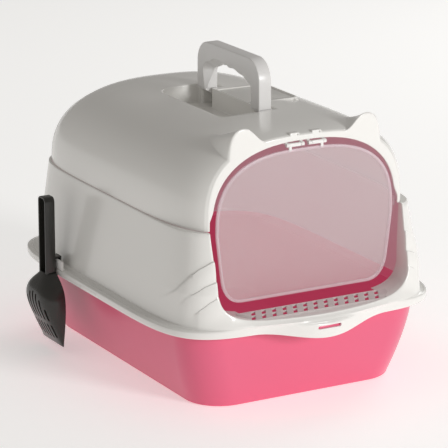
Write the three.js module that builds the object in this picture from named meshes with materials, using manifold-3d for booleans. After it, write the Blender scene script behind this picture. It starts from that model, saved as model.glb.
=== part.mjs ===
// Hooded cat litter box: a pan, a two-piece hood with cat ears, a swinging door, a folding
// carry handle, a filter under a lid in the roof, and a scoop hung on a rail at the side.
// Millimetres. The origin is the centre of the pan's underside, +Z is up, the door faces -Y.
import * as THREE from "three";
import { mergeVertices } from "three/addons/utils/BufferGeometryUtils.js";
import Module from "manifold-3d";

const wasm = await Module();
wasm.setup();

// ---------- driving dimensions ----------
const SKIN = 2.6; // wall of the moulded shells
const GAP = 0.4; // clearance between neighbouring pieces

const PAN = { halfWidth: 141.5, halfLength: 210, topHalfWidth: 168, topHalfLength: 226, cornerRadius: 48,
  height: 102.2, flare: 1.5, rimHalfWidth: 189.6, rimHalfLength: 246.3 };
const FLANGE = { halfWidth: 193.3, halfLength: 250, power: 5.7, bottom: 101, top: 108.5,
  tongueReach: 21, tongueHalfWidth: 95, tongueDip: 11 };
const LOWER = { halfWidth: 164.5, front: 223, rear: 232, top: 226, bottom: 113,
  sideSlope: 0.137, frontSlope: 0.175, rearSlope: 0.07, frontPower: 8, rearPower: 5.7,
  lipReach: 16, lipHalfWidth: 130, lipStart: 150 };
const UPPER = { base: 226.4, halfWidth: 162.5, rise: 111, front: 236, frontPower: 4.76, frontFace: -209,
  frontFall: 0.34, rear: 232, rearPower: 5.31, rearFall: 2.03, archFront: 2.98, archRear: 2.55 };
const DOORWAY = { archHalfWidth: 129, archBase: 235, archRise: 88.5, archPower: 2.5,
  flareHalfWidth: 137.2, flareTop: 252, sideHalfWidth: 134.5, cornerTop: 158, bottom: 118,
  sidePower: 6, sillPower: 2.6 };
const TUNNEL_END = -207; // inner edge of the doorway's side returns, along Y
const STEP = { halfWidth: 106, front: -246.5, rear: -224.5, frontTop: 119.4, rearTop: 123.4,
  thickness: 2.2, pitch: 14.6, columns: 13 };
const DOOR = { y: -209, thickness: 2.2, halfWidth: 125, waist: 218, rise: 96.5, archPower: 2.8,
  bottom: 131, bottomHalfWidth: 90, cornerTop: 165, cornerHalfWidth: 118.5, axisZ: 319.5 };
const HINGE = { x: 15.5, tabHalf: 8, barrelRadius: 3.4, pinRadius: 1.8, pinHalf: 12 };
const EAR = { outline: [[106, 300], [105.5, 312], [103.5, 327], [101, 336], [97.5, 341.8], [92.5, 345.4],
  [87, 346.6], [81, 345.2], [74.5, 340.8], [67, 333.5], [60, 327], [60, 318]], tail: [88, 316], depth: 58 };
const HANDLE = { x0: -3.5, x1: 14.5, y0: -101, y1: 58, top: 399, under: 376, leg: 22.5, outerRadius: 28,
  innerRadius: 13, footTop: 338, pivotX: 14.5, pivotZ: 331, footRadius: 5.4, pinRadius: 2.5 };
const POCKET = { x0: -57, x1: 4, y0: -103.5, y1: 66, floor: 312, nearRadius: 20, farRadius: 5, wall: 2.4 };
const NOTCH_X = 21.4; // how far the leg notches reach past the pivot
const VENT = { x0: 5.6, x1: 74, y0: -56.6, y1: 22.6, padTop: 336.9, padBottom: 328, lidTop: 336.1,
  lidBottom: 333.7, trayLip: 331.5, trayFloor: 318, trayX1: 64.2, border: 4 };
const LID_HINGE = { x: 70.8, z: 333.9, barrel: 2.2, pin: 1.2, barrelLength: 9 };
const GRIP = { y: -2, halfLength: 26, low: 102, high: 106.6, proud: 1.1 };
const SCOOP = { rimX: -196, y: 97, tip: 10, handleTop: 206, handleDepth: 14, handleHalf: 10.2, wall: 2.3 };
const HOLDER = { x0: -193, x1: -190.2, y0: 75, y1: 119, bottom: 111.4, top: 122.4 };

// ---------- materials ----------
const paint = (color, roughness, extra = {}) =>
  new THREE.MeshStandardMaterial({ color, roughness, metalness: 0, ...extra });
const WHITE = paint(0xf0efea, 0.3);
const PINK = paint(0xee6a92, 0.35);
const FROSTED = paint(0xe9d3dc, 0.4, { transparent: true, opacity: 0.55 });
const CHARCOAL = paint(0x2b2b29, 0.35);
const CARBON = paint(0x1d1d1d, 0.95);

// ---------- solids ----------
// A closed geometry as a manifold-3d solid, turned right side out.
function solid(geometry) {
  const bare = new THREE.BufferGeometry().setAttribute("position", geometry.getAttribute("position"));
  if (geometry.index) bare.setIndex(geometry.index);
  const merged = mergeVertices(bare, 1e-4);
  const points = merged.attributes.position.array;
  const faces = new Uint32Array(merged.index.array);
  let volume = 0;
  const corner = [new THREE.Vector3(), new THREE.Vector3(), new THREE.Vector3()];
  for (let i = 0; i < faces.length; i += 3) {
    corner.forEach((v, j) => v.fromArray(points, 3 * faces[i + j]));
    volume += corner[0].dot(corner[1].cross(corner[2]));
  }
  if (volume < 0)
    for (let i = 0; i < faces.length; i += 3) [faces[i + 1], faces[i + 2]] = [faces[i + 2], faces[i + 1]];
  return new wasm.Manifold(new wasm.Mesh({ numProp: 3, vertProperties: points, triVerts: faces }));
}

// Joins closed rings with the same number of points: a tube that closes on itself, or one with ends.
function loft(rings, closed) {
  const count = rings[0].length;
  const points = rings.flat();
  const faces = [];
  const last = closed ? rings.length : rings.length - 1;
  for (let r = 0; r < last; r++)
    for (let i = 0; i < count; i++) {
      const a = r * count + i;
      const b = r * count + ((i + 1) % count);
      const c = ((r + 1) % rings.length) * count + ((i + 1) % count);
      const d = ((r + 1) % rings.length) * count + i;
      faces.push(a, b, c, a, c, d);
    }
  if (!closed)
    for (const [ring, flip] of [[0, true], [rings.length - 1, false]]) {
      const middle = rings[ring].reduce((sum, p) => sum.map((v, k) => v + p[k] / count), [0, 0, 0]);
      const hub = points.push(middle) - 1;
      for (let i = 0; i < count; i++) {
        const a = ring * count + i;
        const b = ring * count + ((i + 1) % count);
        faces.push(...(flip ? [hub, b, a] : [hub, a, b]));
      }
    }
  const geometry = new THREE.BufferGeometry();
  geometry.setAttribute("position", new THREE.Float32BufferAttribute(points.flat(), 3));
  geometry.setIndex(faces);
  return solid(geometry);
}

function box(x0, x1, y0, y1, z0, z1) {
  const geometry = new THREE.BoxGeometry(x1 - x0, y1 - y0, z1 - z0);
  return solid(geometry.translate((x0 + x1) / 2, (y0 + y1) / 2, (z0 + z1) / 2));
}

// A polygon in the plane across an axis, pushed along that axis from low to high.
function prism(outline, axis, low, high) {
  const at = { x: (u, v, w) => [w, u, v], y: (u, v, w) => [u, w, v], z: (u, v, w) => [u, v, w] }[axis];
  return extruded(outline, (u, v) => at(u, v, low), (u, v) => at(u, v, high));
}

// The solid between an outline placed twice, with its ends cut into triangles.
function extruded(outline, placeLow, placeHigh) {
  const flat = outline.map(([u, v]) => new THREE.Vector2(u, v));
  if (THREE.ShapeUtils.area(flat) < 0) flat.reverse();
  const count = flat.length;
  const points = [...flat.map((p) => placeLow(p.x, p.y)), ...flat.map((p) => placeHigh(p.x, p.y))];
  const faces = [];
  for (let i = 0; i < count; i++) {
    const j = (i + 1) % count;
    faces.push(i, j, count + j, i, count + j, count + i);
  }
  for (const [a, b, c] of THREE.ShapeUtils.triangulateShape(flat, [])) {
    const inOrder = THREE.ShapeUtils.area([flat[a], flat[b], flat[c]]) > 0;
    const [d, e] = inOrder ? [b, c] : [c, b];
    faces.push(a, e, d, count + a, count + d, count + e);
  }
  const geometry = new THREE.BufferGeometry();
  geometry.setAttribute("position", new THREE.Float32BufferAttribute(points.flat(), 3));
  geometry.setIndex(faces);
  return solid(geometry);
}

// A rod along an axis through the point (u, v) of the plane across it.
function rod(axis, u, v, low, high, radius, sides = 20) {
  const ring = [];
  for (let i = 0; i < sides; i++) {
    const turn = (2 * Math.PI * i) / sides;
    ring.push([u + radius * Math.cos(turn), v + radius * Math.sin(turn)]);
  }
  return prism(ring, axis, low, high);
}

// The outline of a rectangle with its own radius at each corner, starting at the high corner.
function roundedRectangle(u0, u1, v0, v1, [r11, r01, r00, r10], steps = 5) {
  const corners = [[u1 - r11, v1 - r11, r11, 0], [u0 + r01, v1 - r01, r01, 1],
    [u0 + r00, v0 + r00, r00, 2], [u1 - r10, v0 + r10, r10, 3]];
  return corners.flatMap(([u, v, r, quarter]) =>
    Array.from({ length: steps + 1 }, (_, i) => {
      const turn = (Math.PI / 2) * (quarter + i / steps);
      return [u + r * Math.cos(turn), v + r * Math.sin(turn)];
    }));
}

// ---------- the plan of the box ----------
// Directions from the middle at which every plan ring has a point: close together at the
// corners, and evenly along the front, where the tongue and the lip bulge.
const PLAN_POWER = 6;
function planDirections() {
  const quarter = (flat) => {
    const points = [[1, 0], [1, 0.4], [1, 0.62]];
    for (let t = 20; t <= 70; t += 10) {
      const turn = THREE.MathUtils.degToRad(t);
      points.push([Math.cos(turn) ** (2 / PLAN_POWER), Math.sin(turn) ** (2 / PLAN_POWER)]);
    }
    flat.forEach((x) => points.push([x, 1]));
    return points.map(([x, y]) => Math.atan2(y, x));
  };
  const rear = quarter([0.6, 0.3]);
  const front = quarter([0.62, 0.5, 0.4, 0.3, 0.2, 0.1]);
  return [
    ...rear,
    Math.PI / 2,
    ...rear.slice(1).reverse().map((a) => Math.PI - a),
    ...front.map((a) => Math.PI + a),
    1.5 * Math.PI,
    ...front.slice(1).reverse().map((a) => 2 * Math.PI - a),
  ];
}
const DIRECTIONS = planDirections();

const bell = (x, halfWidth) => (Math.abs(x) < halfWidth ? Math.cos((Math.PI * x) / (2 * halfWidth)) ** 2 : 0);

// A rounded-box ring: half width, reach and power ahead and behind, then a bulge at the front.
function planRing({ width, front, rear, frontPower, rearPower, bulge = 0, bulgeHalf = 1, dip = 0 }, z) {
  return DIRECTIONS.map((angle) => {
    const [c, s] = [Math.cos(angle), Math.sin(angle)];
    const power = s < 0 ? frontPower : rearPower;
    const r = (Math.abs(c) ** power + Math.abs(s) ** power) ** (-1 / power);
    const x = width * r * c;
    const swell = s < 0 ? bell(x, bulgeHalf) : 0;
    return [x, (s < 0 ? front : rear) * r * s - bulge * swell, z - dip * swell];
  });
}

// The pan's plan at height z: straight sides with rounded corners, wider towards the rim.
function panRing(z, inset = 0) {
  const rise = 1 - (1 - Math.min(z, 100) / 100) ** PAN.flare;
  const x = PAN.halfWidth + (PAN.topHalfWidth - PAN.halfWidth) * rise - inset;
  const y = PAN.halfLength + (PAN.topHalfLength - PAN.halfLength) * rise - inset;
  const radius = PAN.cornerRadius - inset;
  const [cornerX, cornerY] = [x - radius, y - radius];
  return DIRECTIONS.map((angle) => {
    const [c, s] = [Math.cos(angle), Math.sin(angle)];
    const [dx, dy] = [x * Math.abs(c), y * Math.abs(s)];
    // How far along (dx, dy) the straight side lies, or the corner's arc where that comes first.
    let reach = 1 / Math.max(Math.abs(c), Math.abs(s));
    if (reach * dx > cornerX && reach * dy > cornerY) {
      const [size, along] = [dx ** 2 + dy ** 2, dx * cornerX + dy * cornerY];
      reach = (along + Math.sqrt(along ** 2 - size * (cornerX ** 2 + cornerY ** 2 - radius ** 2))) / size;
    }
    return [x * reach * c, y * reach * s, z];
  });
}

function rimRing(z, inset) {
  const length = PAN.rimHalfLength - inset;
  return planRing({ width: PAN.rimHalfWidth - inset, front: length, rear: length, frontPower: FLANGE.power,
    rearPower: FLANGE.power, bulge: FLANGE.tongueReach, bulgeHalf: FLANGE.tongueHalfWidth }, z);
}

function flangeRing(z, inset, dip) {
  const length = FLANGE.halfLength - inset;
  return planRing({ width: FLANGE.halfWidth - inset, front: length, rear: length, frontPower: FLANGE.power,
    rearPower: FLANGE.power, bulge: FLANGE.tongueReach, bulgeHalf: FLANGE.tongueHalfWidth, dip }, z);
}

function lowerRing(z, inset = 0) {
  const drop = LOWER.top - z;
  const whole = LOWER.top - LOWER.bottom;
  const lip = Math.min(1, Math.max(0, (LOWER.lipStart - z) / (LOWER.lipStart - LOWER.bottom))) ** 1.5;
  return planRing({
    width: LOWER.halfWidth + LOWER.sideSlope * drop - inset,
    front: LOWER.front + LOWER.frontSlope * drop + 7 * (drop / whole) ** 6 - inset,
    rear: LOWER.rear + LOWER.rearSlope * drop - inset,
    frontPower: LOWER.frontPower - 2 * Math.max(0, (drop - 73) / 40),
    rearPower: LOWER.rearPower,
    bulge: LOWER.lipReach * lip,
    bulgeHalf: LOWER.lipHalfWidth,
  }, z);
}

// ---------- the upper hood's dome ----------
// How much of the hood's full width is left at a distance y along it.
function fullness(y, inset) {
  const [reach, power] = y < 0 ? [UPPER.front, UPPER.frontPower] : [UPPER.rear, UPPER.rearPower];
  return Math.max(0, 1 - Math.abs(y / (reach - inset)) ** power) ** (1 / power);
}

function arch(y, inset, base, steps = 26) {
  const full = fullness(y, inset);
  const halfWidth = (UPPER.halfWidth - inset) * full;
  const rise = (UPPER.rise - inset) * full ** (y < 0 ? UPPER.frontFall : UPPER.rearFall);
  const along = (y + UPPER.front) / (UPPER.rear + UPPER.front);
  const power = UPPER.archFront + (UPPER.archRear - UPPER.archFront) * along;
  const points = [[halfWidth, y, base]];
  for (let i = 0; i <= steps; i++) {
    const turn = (Math.PI * i) / steps;
    const [c, s] = [Math.cos(turn), Math.sin(turn)];
    const r = (Math.abs(c) ** power + Math.abs(s) ** power) ** (-1 / power);
    points.push([halfWidth * r * c, y, LOWER.top + 0.5 + rise * r * s]);
  }
  points.push([-halfWidth, y, base]);
  return points;
}

function dome(inset, base) {
  const rear = UPPER.rear - inset;
  const behind = [0.99, 0.965, 0.93, 0.88, 0.81, 0.71, 0.57, 0.37, 0.12].map(
    (full) => rear * (1 - full ** UPPER.rearPower) ** (1 / UPPER.rearPower));
  const stations = [UPPER.frontFace + inset, -202, -190, -172, -145, -100, -40, 20, 75, ...behind];
  return loft(stations.map((y) => arch(y, inset, base)), false);
}

// The hood's plan ring where the two halves meet.
function seamRing(z, inset) {
  return planRing({ width: UPPER.halfWidth - inset, front: UPPER.front - inset, rear: UPPER.rear - inset,
    frontPower: UPPER.frontPower, rearPower: UPPER.rearPower }, z)
    .map(([x, y]) => [x, Math.max(y, UPPER.frontFace + inset), z]);
}

// ---------- the doorway ----------
function doorwayOutline(grow) {
  const points = [];
  const steps = 18;
  const low = DOORWAY.cornerTop;
  for (let i = 0; i <= steps; i++) {
    const turn = Math.PI + (Math.PI * i) / steps;
    const [c, s] = [Math.cos(turn), Math.sin(turn)];
    const across = Math.sign(c) * Math.abs(c) ** (2 / DOORWAY.sidePower);
    const down = Math.abs(s) ** (2 / DOORWAY.sillPower);
    points.push([(DOORWAY.sideHalfWidth + grow) * across, low - (low - DOORWAY.bottom + grow) * down]);
  }
  const halfWidth = DOORWAY.archHalfWidth + grow;
  const rise = DOORWAY.archRise + grow;
  points.push([DOORWAY.sideHalfWidth + 1 + grow, LOWER.top], [DOORWAY.flareHalfWidth + grow, LOWER.top + 1]);
  for (let i = 0; i <= steps; i++) {
    const turn = (Math.PI * i) / steps;
    const [c, s] = [Math.cos(turn), Math.sin(turn)];
    const r = (Math.abs(c) ** DOORWAY.archPower + Math.abs(s) ** DOORWAY.archPower) ** (-1 / DOORWAY.archPower);
    const z = DOORWAY.archBase + rise * r * s;
    if (z > DOORWAY.flareTop) points.push([halfWidth * r * c, z]);
  }
  points.push([-DOORWAY.flareHalfWidth - grow, LOWER.top + 1], [-DOORWAY.sideHalfWidth - 1 - grow, LOWER.top]);
  return points;
}
const doorway = prism(doorwayOutline(0), "y", -320, -150);

// ---------- the pieces ----------
function litterPan() {
  const height = PAN.height;
  const outside = [panRing(0, 5), panRing(0, 2.5), panRing(2.5, 0), ...[14, 34, 62, 100].map((z) => panRing(z))];
  const rim = [rimRing(height, 0), rimRing(height + SKIN, 0)];
  const inside = [...[height + SKIN, 62, 34, 14].map((z) => panRing(z, SKIN)), panRing(3 + SKIN, SKIN), panRing(3, 6)];
  const upper = panRing(height);
  return loft([...outside, upper, ...rim, ...inside], false);
}

function lowerHood() {
  const levels = [LOWER.bottom, 125, 140, 165, 195, LOWER.top];
  const shelf = 223.4;
  const shell = loft([
    flangeRing(FLANGE.bottom, 0, FLANGE.tongueDip),
    flangeRing(FLANGE.top, 0, 2),
    flangeRing(FLANGE.top + 2, 5, 1.5),
    ...levels.map((z) => lowerRing(z)),
    seamRing(LOWER.top, 5),
    seamRing(shelf, 5),
    lowerRing(shelf, SKIN),
    ...[165, 140, 125, LOWER.bottom].map((z) => lowerRing(z, SKIN)),
    flangeRing(FLANGE.top - 1, SKIN, 2),
    flangeRing(FLANGE.bottom, SKIN, FLANGE.tongueDip),
  ], true);
  const filled = loft([112, ...levels].map((z) => lowerRing(z)), false);
  const band = prism(doorwayOutline(SKIN), "y", -320, TUNNEL_END)
    .subtract(box(-STEP.halfWidth - 2, STEP.halfWidth + 2, STEP.rear, TUNNEL_END + 1, 100, 124));
  const returns = band.intersect(filled);
  const stepWell = box(-STEP.halfWidth - GAP, STEP.halfWidth + GAP, STEP.front - GAP, -200, 114, 126);
  const slot = prism(roundedRectangle(-16.4, 16.4, 101.6, 105.8, [2, 2, 2, 2], 3), "y", -285, -262);
  const ledge = box(-108, 108, -249, -244.5, 114.6, 116.8)
    .add(box(-108, -103.5, -248, -226, 113.6, 116.8))
    .add(box(103.5, 108, -248, -226, 113.6, 116.8));
  let hood = shell.add(returns).subtract(doorway).subtract(stepWell).subtract(slot).add(ledge);
  for (const side of [-1, 1]) {
    const faces = [FLANGE.halfWidth - 1.4, FLANGE.halfWidth + GRIP.proud].map((x) => side * x).sort((a, b) => a - b);
    hood = hood.add(box(...faces, GRIP.y - GRIP.halfLength, GRIP.y + GRIP.halfLength, GRIP.low, GRIP.high));
  }
  return hood;
}

// The perforated step in the doorway's sill, rising a little towards the inside.
function stepGrid() {
  const { halfWidth, front, rear, frontTop, rearTop, thickness } = STEP;
  const profile = [[front, frontTop], [rear, rearTop], [rear, rearTop - thickness], [front, frontTop - thickness]];
  let plate = prism(profile, "x", -halfWidth, halfWidth);
  for (const [row, offset] of [[0, 0], [1, STEP.pitch / 2]])
    for (let i = 0; i < STEP.columns; i++) {
      const x = (i - (STEP.columns - 1) / 2) * STEP.pitch + offset - STEP.pitch / 4;
      const y = -239.5 + row * 8.5;
      const slot = [[x - 4.5, y - 2.6], [x + 0.5, y - 2.6], [x + 4.5, y + 2.6], [x - 0.5, y + 2.6]];
      plate = plate.subtract(prism(slot, "z", 110, 130));
    }
  return plate;
}

function pocketSolid(grow, floor) {
  const { x0, x1, y0, y1, nearRadius, farRadius } = POCKET;
  const radii = [farRadius, nearRadius, nearRadius, farRadius].map((r) => r + grow);
  let hollow = prism(roundedRectangle(x0 - grow, x1 + grow, y0 - grow, y1 + grow, radii), "z", floor, 350);
  for (const y of [HANDLE.y0, HANDLE.y1 - HANDLE.leg])
    hollow = hollow.add(box(x1 - 8, NOTCH_X + grow, y - 0.6 - grow, y + HANDLE.leg + 0.6 + grow, floor, 350));
  return hollow;
}

// An ear: an upright rounded triangle at the front, drawn back to a point on the roof.
function ear(side) {
  const front = EAR.outline.map(([x, z]) => [side * x, z]);
  const [tailX, tailZ] = EAR.tail;
  const place = (scale, y) => (x, z) => [side * tailX + (x - side * tailX) * scale, y, tailZ + (z - tailZ) * scale];
  return extruded(front, place(1, UPPER.frontFace + 0.6), place(0.12, UPPER.frontFace + EAR.depth));
}

function upperHood() {
  const outside = dome(0, UPPER.base);
  const foot = loft([seamRing(UPPER.base, 0), seamRing(UPPER.base + 5, 0.4), seamRing(UPPER.base + 5, 7.6),
    seamRing(218, 7.6), seamRing(218, 5.6), seamRing(UPPER.base, 5.6)], true);
  const rib = box(-400, 400, -400, 400, 0, UPPER.base).intersect(foot)
    .add(box(-400, 400, -400, 400, UPPER.base, 300).intersect(foot).intersect(outside));
  const padX = [VENT.x0 - VENT.border, VENT.x1 + VENT.border];
  const padY = [VENT.y0 - VENT.border, VENT.y1 + VENT.border];
  const pad = prism(roundedRectangle(...padX, ...padY, [6, 6, 6, 6], 3), "z", VENT.padBottom, VENT.padTop);
  const tub = pocketSolid(POCKET.wall, POCKET.floor - POCKET.wall).intersect(outside);
  let hood = outside.subtract(dome(SKIN, UPPER.base - 10)).add(rib).add(pad).add(tub);
  for (const side of [-1, 1]) hood = hood.add(ear(side).subtract(dome(1, UPPER.base)));
  hood = hood.subtract(pocketSolid(0, POCKET.floor)).subtract(doorway);
  hood = hood.subtract(box(VENT.x0, VENT.x1, VENT.y0, VENT.y1, VENT.lidBottom - 0.3, 350));
  hood = hood.subtract(box(VENT.x1 - 7, VENT.x1, VENT.y0, VENT.y1, 329.8, 350));
  hood = hood.subtract(box(VENT.x0 + 1.8, VENT.trayX1, VENT.y0 + 1.8, VENT.y1 - 1.8, VENT.trayLip - 0.3, 350));
  hood = hood.subtract(box(VENT.x0 + 4.4, VENT.trayX1 - 2.6, VENT.y0 + 4.4, VENT.y1 - 4.4, 300, 350));
  for (const y of [VENT.y0, VENT.y1])
    hood = hood.subtract(rod("y", LID_HINGE.x, LID_HINGE.z, y - 3, y + 3, LID_HINGE.pin + 0.3, 14));
  for (const y of [HANDLE.y0 + HANDLE.leg / 2, HANDLE.y1 - HANDLE.leg / 2])
    hood = hood.subtract(rod("y", HANDLE.pivotX, HANDLE.pivotZ, y - 15, y + 15, HANDLE.pinRadius + 0.3));
  for (const side of [-1, 1]) {
    const x = side * HINGE.x;
    hood = hood.add(box(x - 6.5, x + 6.5, -208.8, -200.6, 327, 333.8));
    hood = hood.subtract(box(x - 4.7, x + 4.7, -206.5, -202.4, 320, 332.1));
    hood = hood.subtract(rod("y", x + 3.6, 331, -212, -206, 1.1, 10));
  }
  return hood;
}

function doorFlap() {
  const outline = [];
  const steps = 20;
  for (let i = 0; i <= steps; i++) {
    const turn = (Math.PI * i) / steps;
    const [c, s] = [Math.cos(turn), Math.sin(turn)];
    const r = (Math.abs(c) ** DOOR.archPower + Math.abs(s) ** DOOR.archPower) ** (-1 / DOOR.archPower);
    outline.push([DOOR.halfWidth * r * c, DOOR.waist + DOOR.rise * r * s]);
  }
  const corner = (side) => {
    const start = new THREE.Vector2(side * DOOR.cornerHalfWidth, DOOR.cornerTop);
    const knee = new THREE.Vector2(side * (DOOR.cornerHalfWidth - 4), DOOR.bottom);
    const end = new THREE.Vector2(side * DOOR.bottomHalfWidth, DOOR.bottom);
    return new THREE.QuadraticBezierCurve(start, knee, end).getPoints(6).map((p) => [p.x, p.y]);
  };
  outline.push(...corner(-1), ...corner(1).reverse());
  const half = DOOR.thickness / 2;
  let door = prism(outline, "y", DOOR.y - half, DOOR.y + half);
  for (const side of [-1, 1]) {
    const [x0, x1] = [side * HINGE.x - HINGE.tabHalf, side * HINGE.x + HINGE.tabHalf];
    door = door.add(box(x0, x1, DOOR.y - half, DOOR.y + half, 305, DOOR.axisZ));
    door = door.add(rod("x", DOOR.y, DOOR.axisZ, x0, x1, HINGE.barrelRadius));
    door = door.subtract(rod("x", DOOR.y, DOOR.axisZ, x0 - 1, x1 + 1, HINGE.pinRadius + 0.3));
  }
  return door;
}

const doorPin = (side) =>
  rod("x", DOOR.y, DOOR.axisZ, side * HINGE.x - HINGE.pinHalf, side * HINGE.x + HINGE.pinHalf, HINGE.pinRadius);

// A hinge clip behind the hood's front: two lugs that carry the pin, a bridge, and a post that
// snaps up into the raised housing on the hood.
function hingeClip(side) {
  const x = side * HINGE.x;
  const reach = HINGE.pinHalf + 0.4;
  let clip = box(x - reach, x + reach, -206, -202.4, 323.4, 326.6);
  for (const end of [-1, 1]) {
    const near = x + end * (HINGE.tabHalf + 0.5);
    const far = x + end * reach;
    const [low, high] = [Math.min(near, far), Math.max(near, far)];
    clip = clip.add(rod("x", DOOR.y, DOOR.axisZ, low, high, HINGE.barrelRadius - 0.8));
    clip = clip.add(box(low, high, DOOR.y, -202.4, DOOR.axisZ + 0.4, DOOR.axisZ + 2.2));
    clip = clip.add(box(low, high, -206, -202.4, DOOR.axisZ + 0.4, 326.6));
  }
  clip = clip.add(box(x - 4.2, x + 4.2, -206, -203, 326, 331.6));
  return clip.subtract(rod("x", DOOR.y, DOOR.axisZ, x - 20, x + 20, HINGE.pinRadius + 0.3));
}

function carryHandle() {
  const { x0, x1, y0, y1, top, under, leg, outerRadius, innerRadius, footTop } = HANDLE;
  const bow = prism(roundedRectangle(y0, y1, footTop - 50, top, [outerRadius, outerRadius, 0.01, 0.01], 7), "x", x0, x1);
  const loop = prism(roundedRectangle(y0 + leg, y1 - leg, footTop - 60, under, [innerRadius, innerRadius, 0.01, 0.01], 5),
    "x", x0 - 1, x1 + 1);
  let handle = bow.subtract(loop).subtract(box(x0 - 1, x1 + 1, y0 - 1, y1 + 1, 200, footTop));
  const lug = [[x0, footTop + 0.5], [x0, footTop - 1]];
  for (let i = 0; i <= 8; i++) {
    const turn = THREE.MathUtils.degToRad(225 + (i * 160) / 8);
    lug.push([HANDLE.pivotX + HANDLE.footRadius * Math.cos(turn), HANDLE.pivotZ + HANDLE.footRadius * Math.sin(turn)]);
  }
  lug.push([x1 + 3, footTop - 2.2], [x1, footTop + 0.5]);
  for (const y of [y0, y1 - leg]) {
    handle = handle.add(prism(lug, "y", y, y + leg));
    handle = handle.subtract(rod("y", HANDLE.pivotX, HANDLE.pivotZ, y - 1, y + leg + 1, HANDLE.pinRadius + 0.3));
  }
  return handle;
}

function handlePin(y) {
  return rod("y", HANDLE.pivotX, HANDLE.pivotZ, y - HANDLE.leg / 2 - 2.6, y + HANDLE.leg / 2 + 2.6, HANDLE.pinRadius);
}

// The lid over the filter, with two barrels under its right edge for the hinge pins.
function filterLid() {
  const { x, z, barrel, pin, barrelLength } = LID_HINGE;
  // The edge by the hinge is cut back at the top, so that it clears the recess as the lid turns.
  const [left, right] = [VENT.x0 + GAP, VENT.x1 - GAP];
  const profile = [[left, VENT.lidBottom], [right, VENT.lidBottom], [right, VENT.lidTop - 1.5],
    [right - 1.5, VENT.lidTop], [left, VENT.lidTop]];
  let lid = prism(profile, "y", VENT.y0 + GAP, VENT.y1 - GAP);
  for (const [low, high] of [[VENT.y0 + GAP, VENT.y0 + barrelLength], [VENT.y1 - barrelLength, VENT.y1 - GAP]]) {
    lid = lid.add(rod("y", x, z, low, high, barrel, 16));
    lid = lid.subtract(rod("y", x, z, low - 1, high + 1, pin + 0.3, 14));
  }
  return lid;
}

const lidPin = (low, high) => rod("y", LID_HINGE.x, LID_HINGE.z, low, high, LID_HINGE.pin, 14);

function filterTray() {
  const { x0, trayX1, y0, y1, trayLip, trayFloor, lidBottom } = VENT;
  const x1 = trayX1 - 0.4;
  const rim = box(x0 + 2.2, x1, y0 + 2.2, y1 - 2.2, trayLip, lidBottom - 0.4);
  const well = box(x0 + 5, x1 - 2.8, y0 + 5, y1 - 5, trayFloor, lidBottom - 0.4);
  let tray = rim.add(well).subtract(box(x0 + 6.6, x1 - 4.4, y0 + 6.6, y1 - 6.6, trayFloor + 1.6, 350));
  for (let x = x0 + 11; x < x1 - 10; x += 8) tray = tray.subtract(box(x, x + 4, y0 + 12, y1 - 12, 300, 325));
  return tray;
}

const carbonFilter = () =>
  box(VENT.x0 + 7.2, VENT.trayX1 - 5.4, VENT.y0 + 7.2, VENT.y1 - 7.2, VENT.trayFloor + 2, VENT.lidBottom - 2);

function scoopHolder() {
  const { x0, x1, y0, y1, bottom, top } = HOLDER;
  return box(x0, x1, y0, y1, bottom, top).add(box(x0, x1 + 1.4, y0, y1, bottom, bottom + 1.4));
}

// A scoop: a bowl that bulges away from the box, a channel handle, and a hook behind it.
function litterScoop() {
  const { rimX, y, wall } = SCOOP;
  const levels = [[10, 30, 2.4], [25, 33, 10], [45, 36.5, 19.5], [65, 38, 27.5], [78, 37, 29], [88, 31, 26.5],
    [96, 22, 18], [103, 12, 15]];
  const bowlRing = ([z, half, depth], thick) => {
    const ring = [];
    for (let i = 0; i <= 14; i++) {
      const turn = (Math.PI * i) / 14;
      const across = Math.sign(Math.cos(turn)) * Math.abs(Math.cos(turn)) ** 0.62;
      const out = Math.sin(turn) ** 0.62;
      ring.push([rimX - Math.max(0.05, depth - thick) * out, y + (half - thick) * across, z]);
    }
    if (thick) ring.push([rimX + 2, ring[14][1], z], [rimX + 2, ring[0][1], z]);
    return ring;
  };
  const hollow = levels.map(([z, half, depth], i) => [i === 0 ? z - 1 : i === levels.length - 1 ? z - wall : z, half, depth]);
  let scoop = loft(levels.map((level) => bowlRing(level, 0)), false);
  scoop = scoop.subtract(loft(hollow.map((level) => bowlRing(level, wall)), false));
  const grip = roundedRectangle(y - SCOOP.handleHalf, y + SCOOP.handleHalf, 98, SCOOP.handleTop, [6, 6, 0.5, 0.5], 4);
  const inner = roundedRectangle(y - SCOOP.handleHalf + wall, y + SCOOP.handleHalf - wall, 106, SCOOP.handleTop - wall,
    [4, 4, 0.5, 0.5], 4);
  scoop = scoop.add(prism(grip, "x", rimX - SCOOP.handleDepth, rimX));
  scoop = scoop.subtract(prism(inner, "x", rimX - 30, rimX - wall));
  scoop = scoop.subtract(box(rimX - 8, rimX + 2, y - 8, y + 8, 60, 98));
  for (let i = -3; i <= 3; i++)
    for (const [z0, z1] of [[20, 42], [47, 84 - 2.2 * i * i]])
      scoop = scoop.subtract(box(rimX - 30, rimX - 1, y + 8.4 * i - 1.7, y + 8.4 * i + 1.7, z0, z1));
  const hookX = HOLDER.x1 + 1.9;
  return scoop.add(box(rimX - 1, hookX + 2.2, y - 7, y + 7, HOLDER.top + 0.6, HOLDER.top + 3.2))
    .add(box(hookX, hookX + 2.2, y - 7, y + 7, HOLDER.bottom + 3, HOLDER.top + 3.2));
}

// ---------- the scene graph ----------
const group = new THREE.Group();

function place(name, body, material) {
  const mesh = body.getMesh();
  const geometry = new THREE.BufferGeometry();
  geometry.setAttribute("position", new THREE.BufferAttribute(new Float32Array(mesh.vertProperties), 3));
  geometry.setIndex(new THREE.BufferAttribute(mesh.triVerts, 1));
  geometry.computeVertexNormals();
  const piece = new THREE.Mesh(geometry, material);
  piece.name = name;
  group.add(piece);
}

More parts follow.
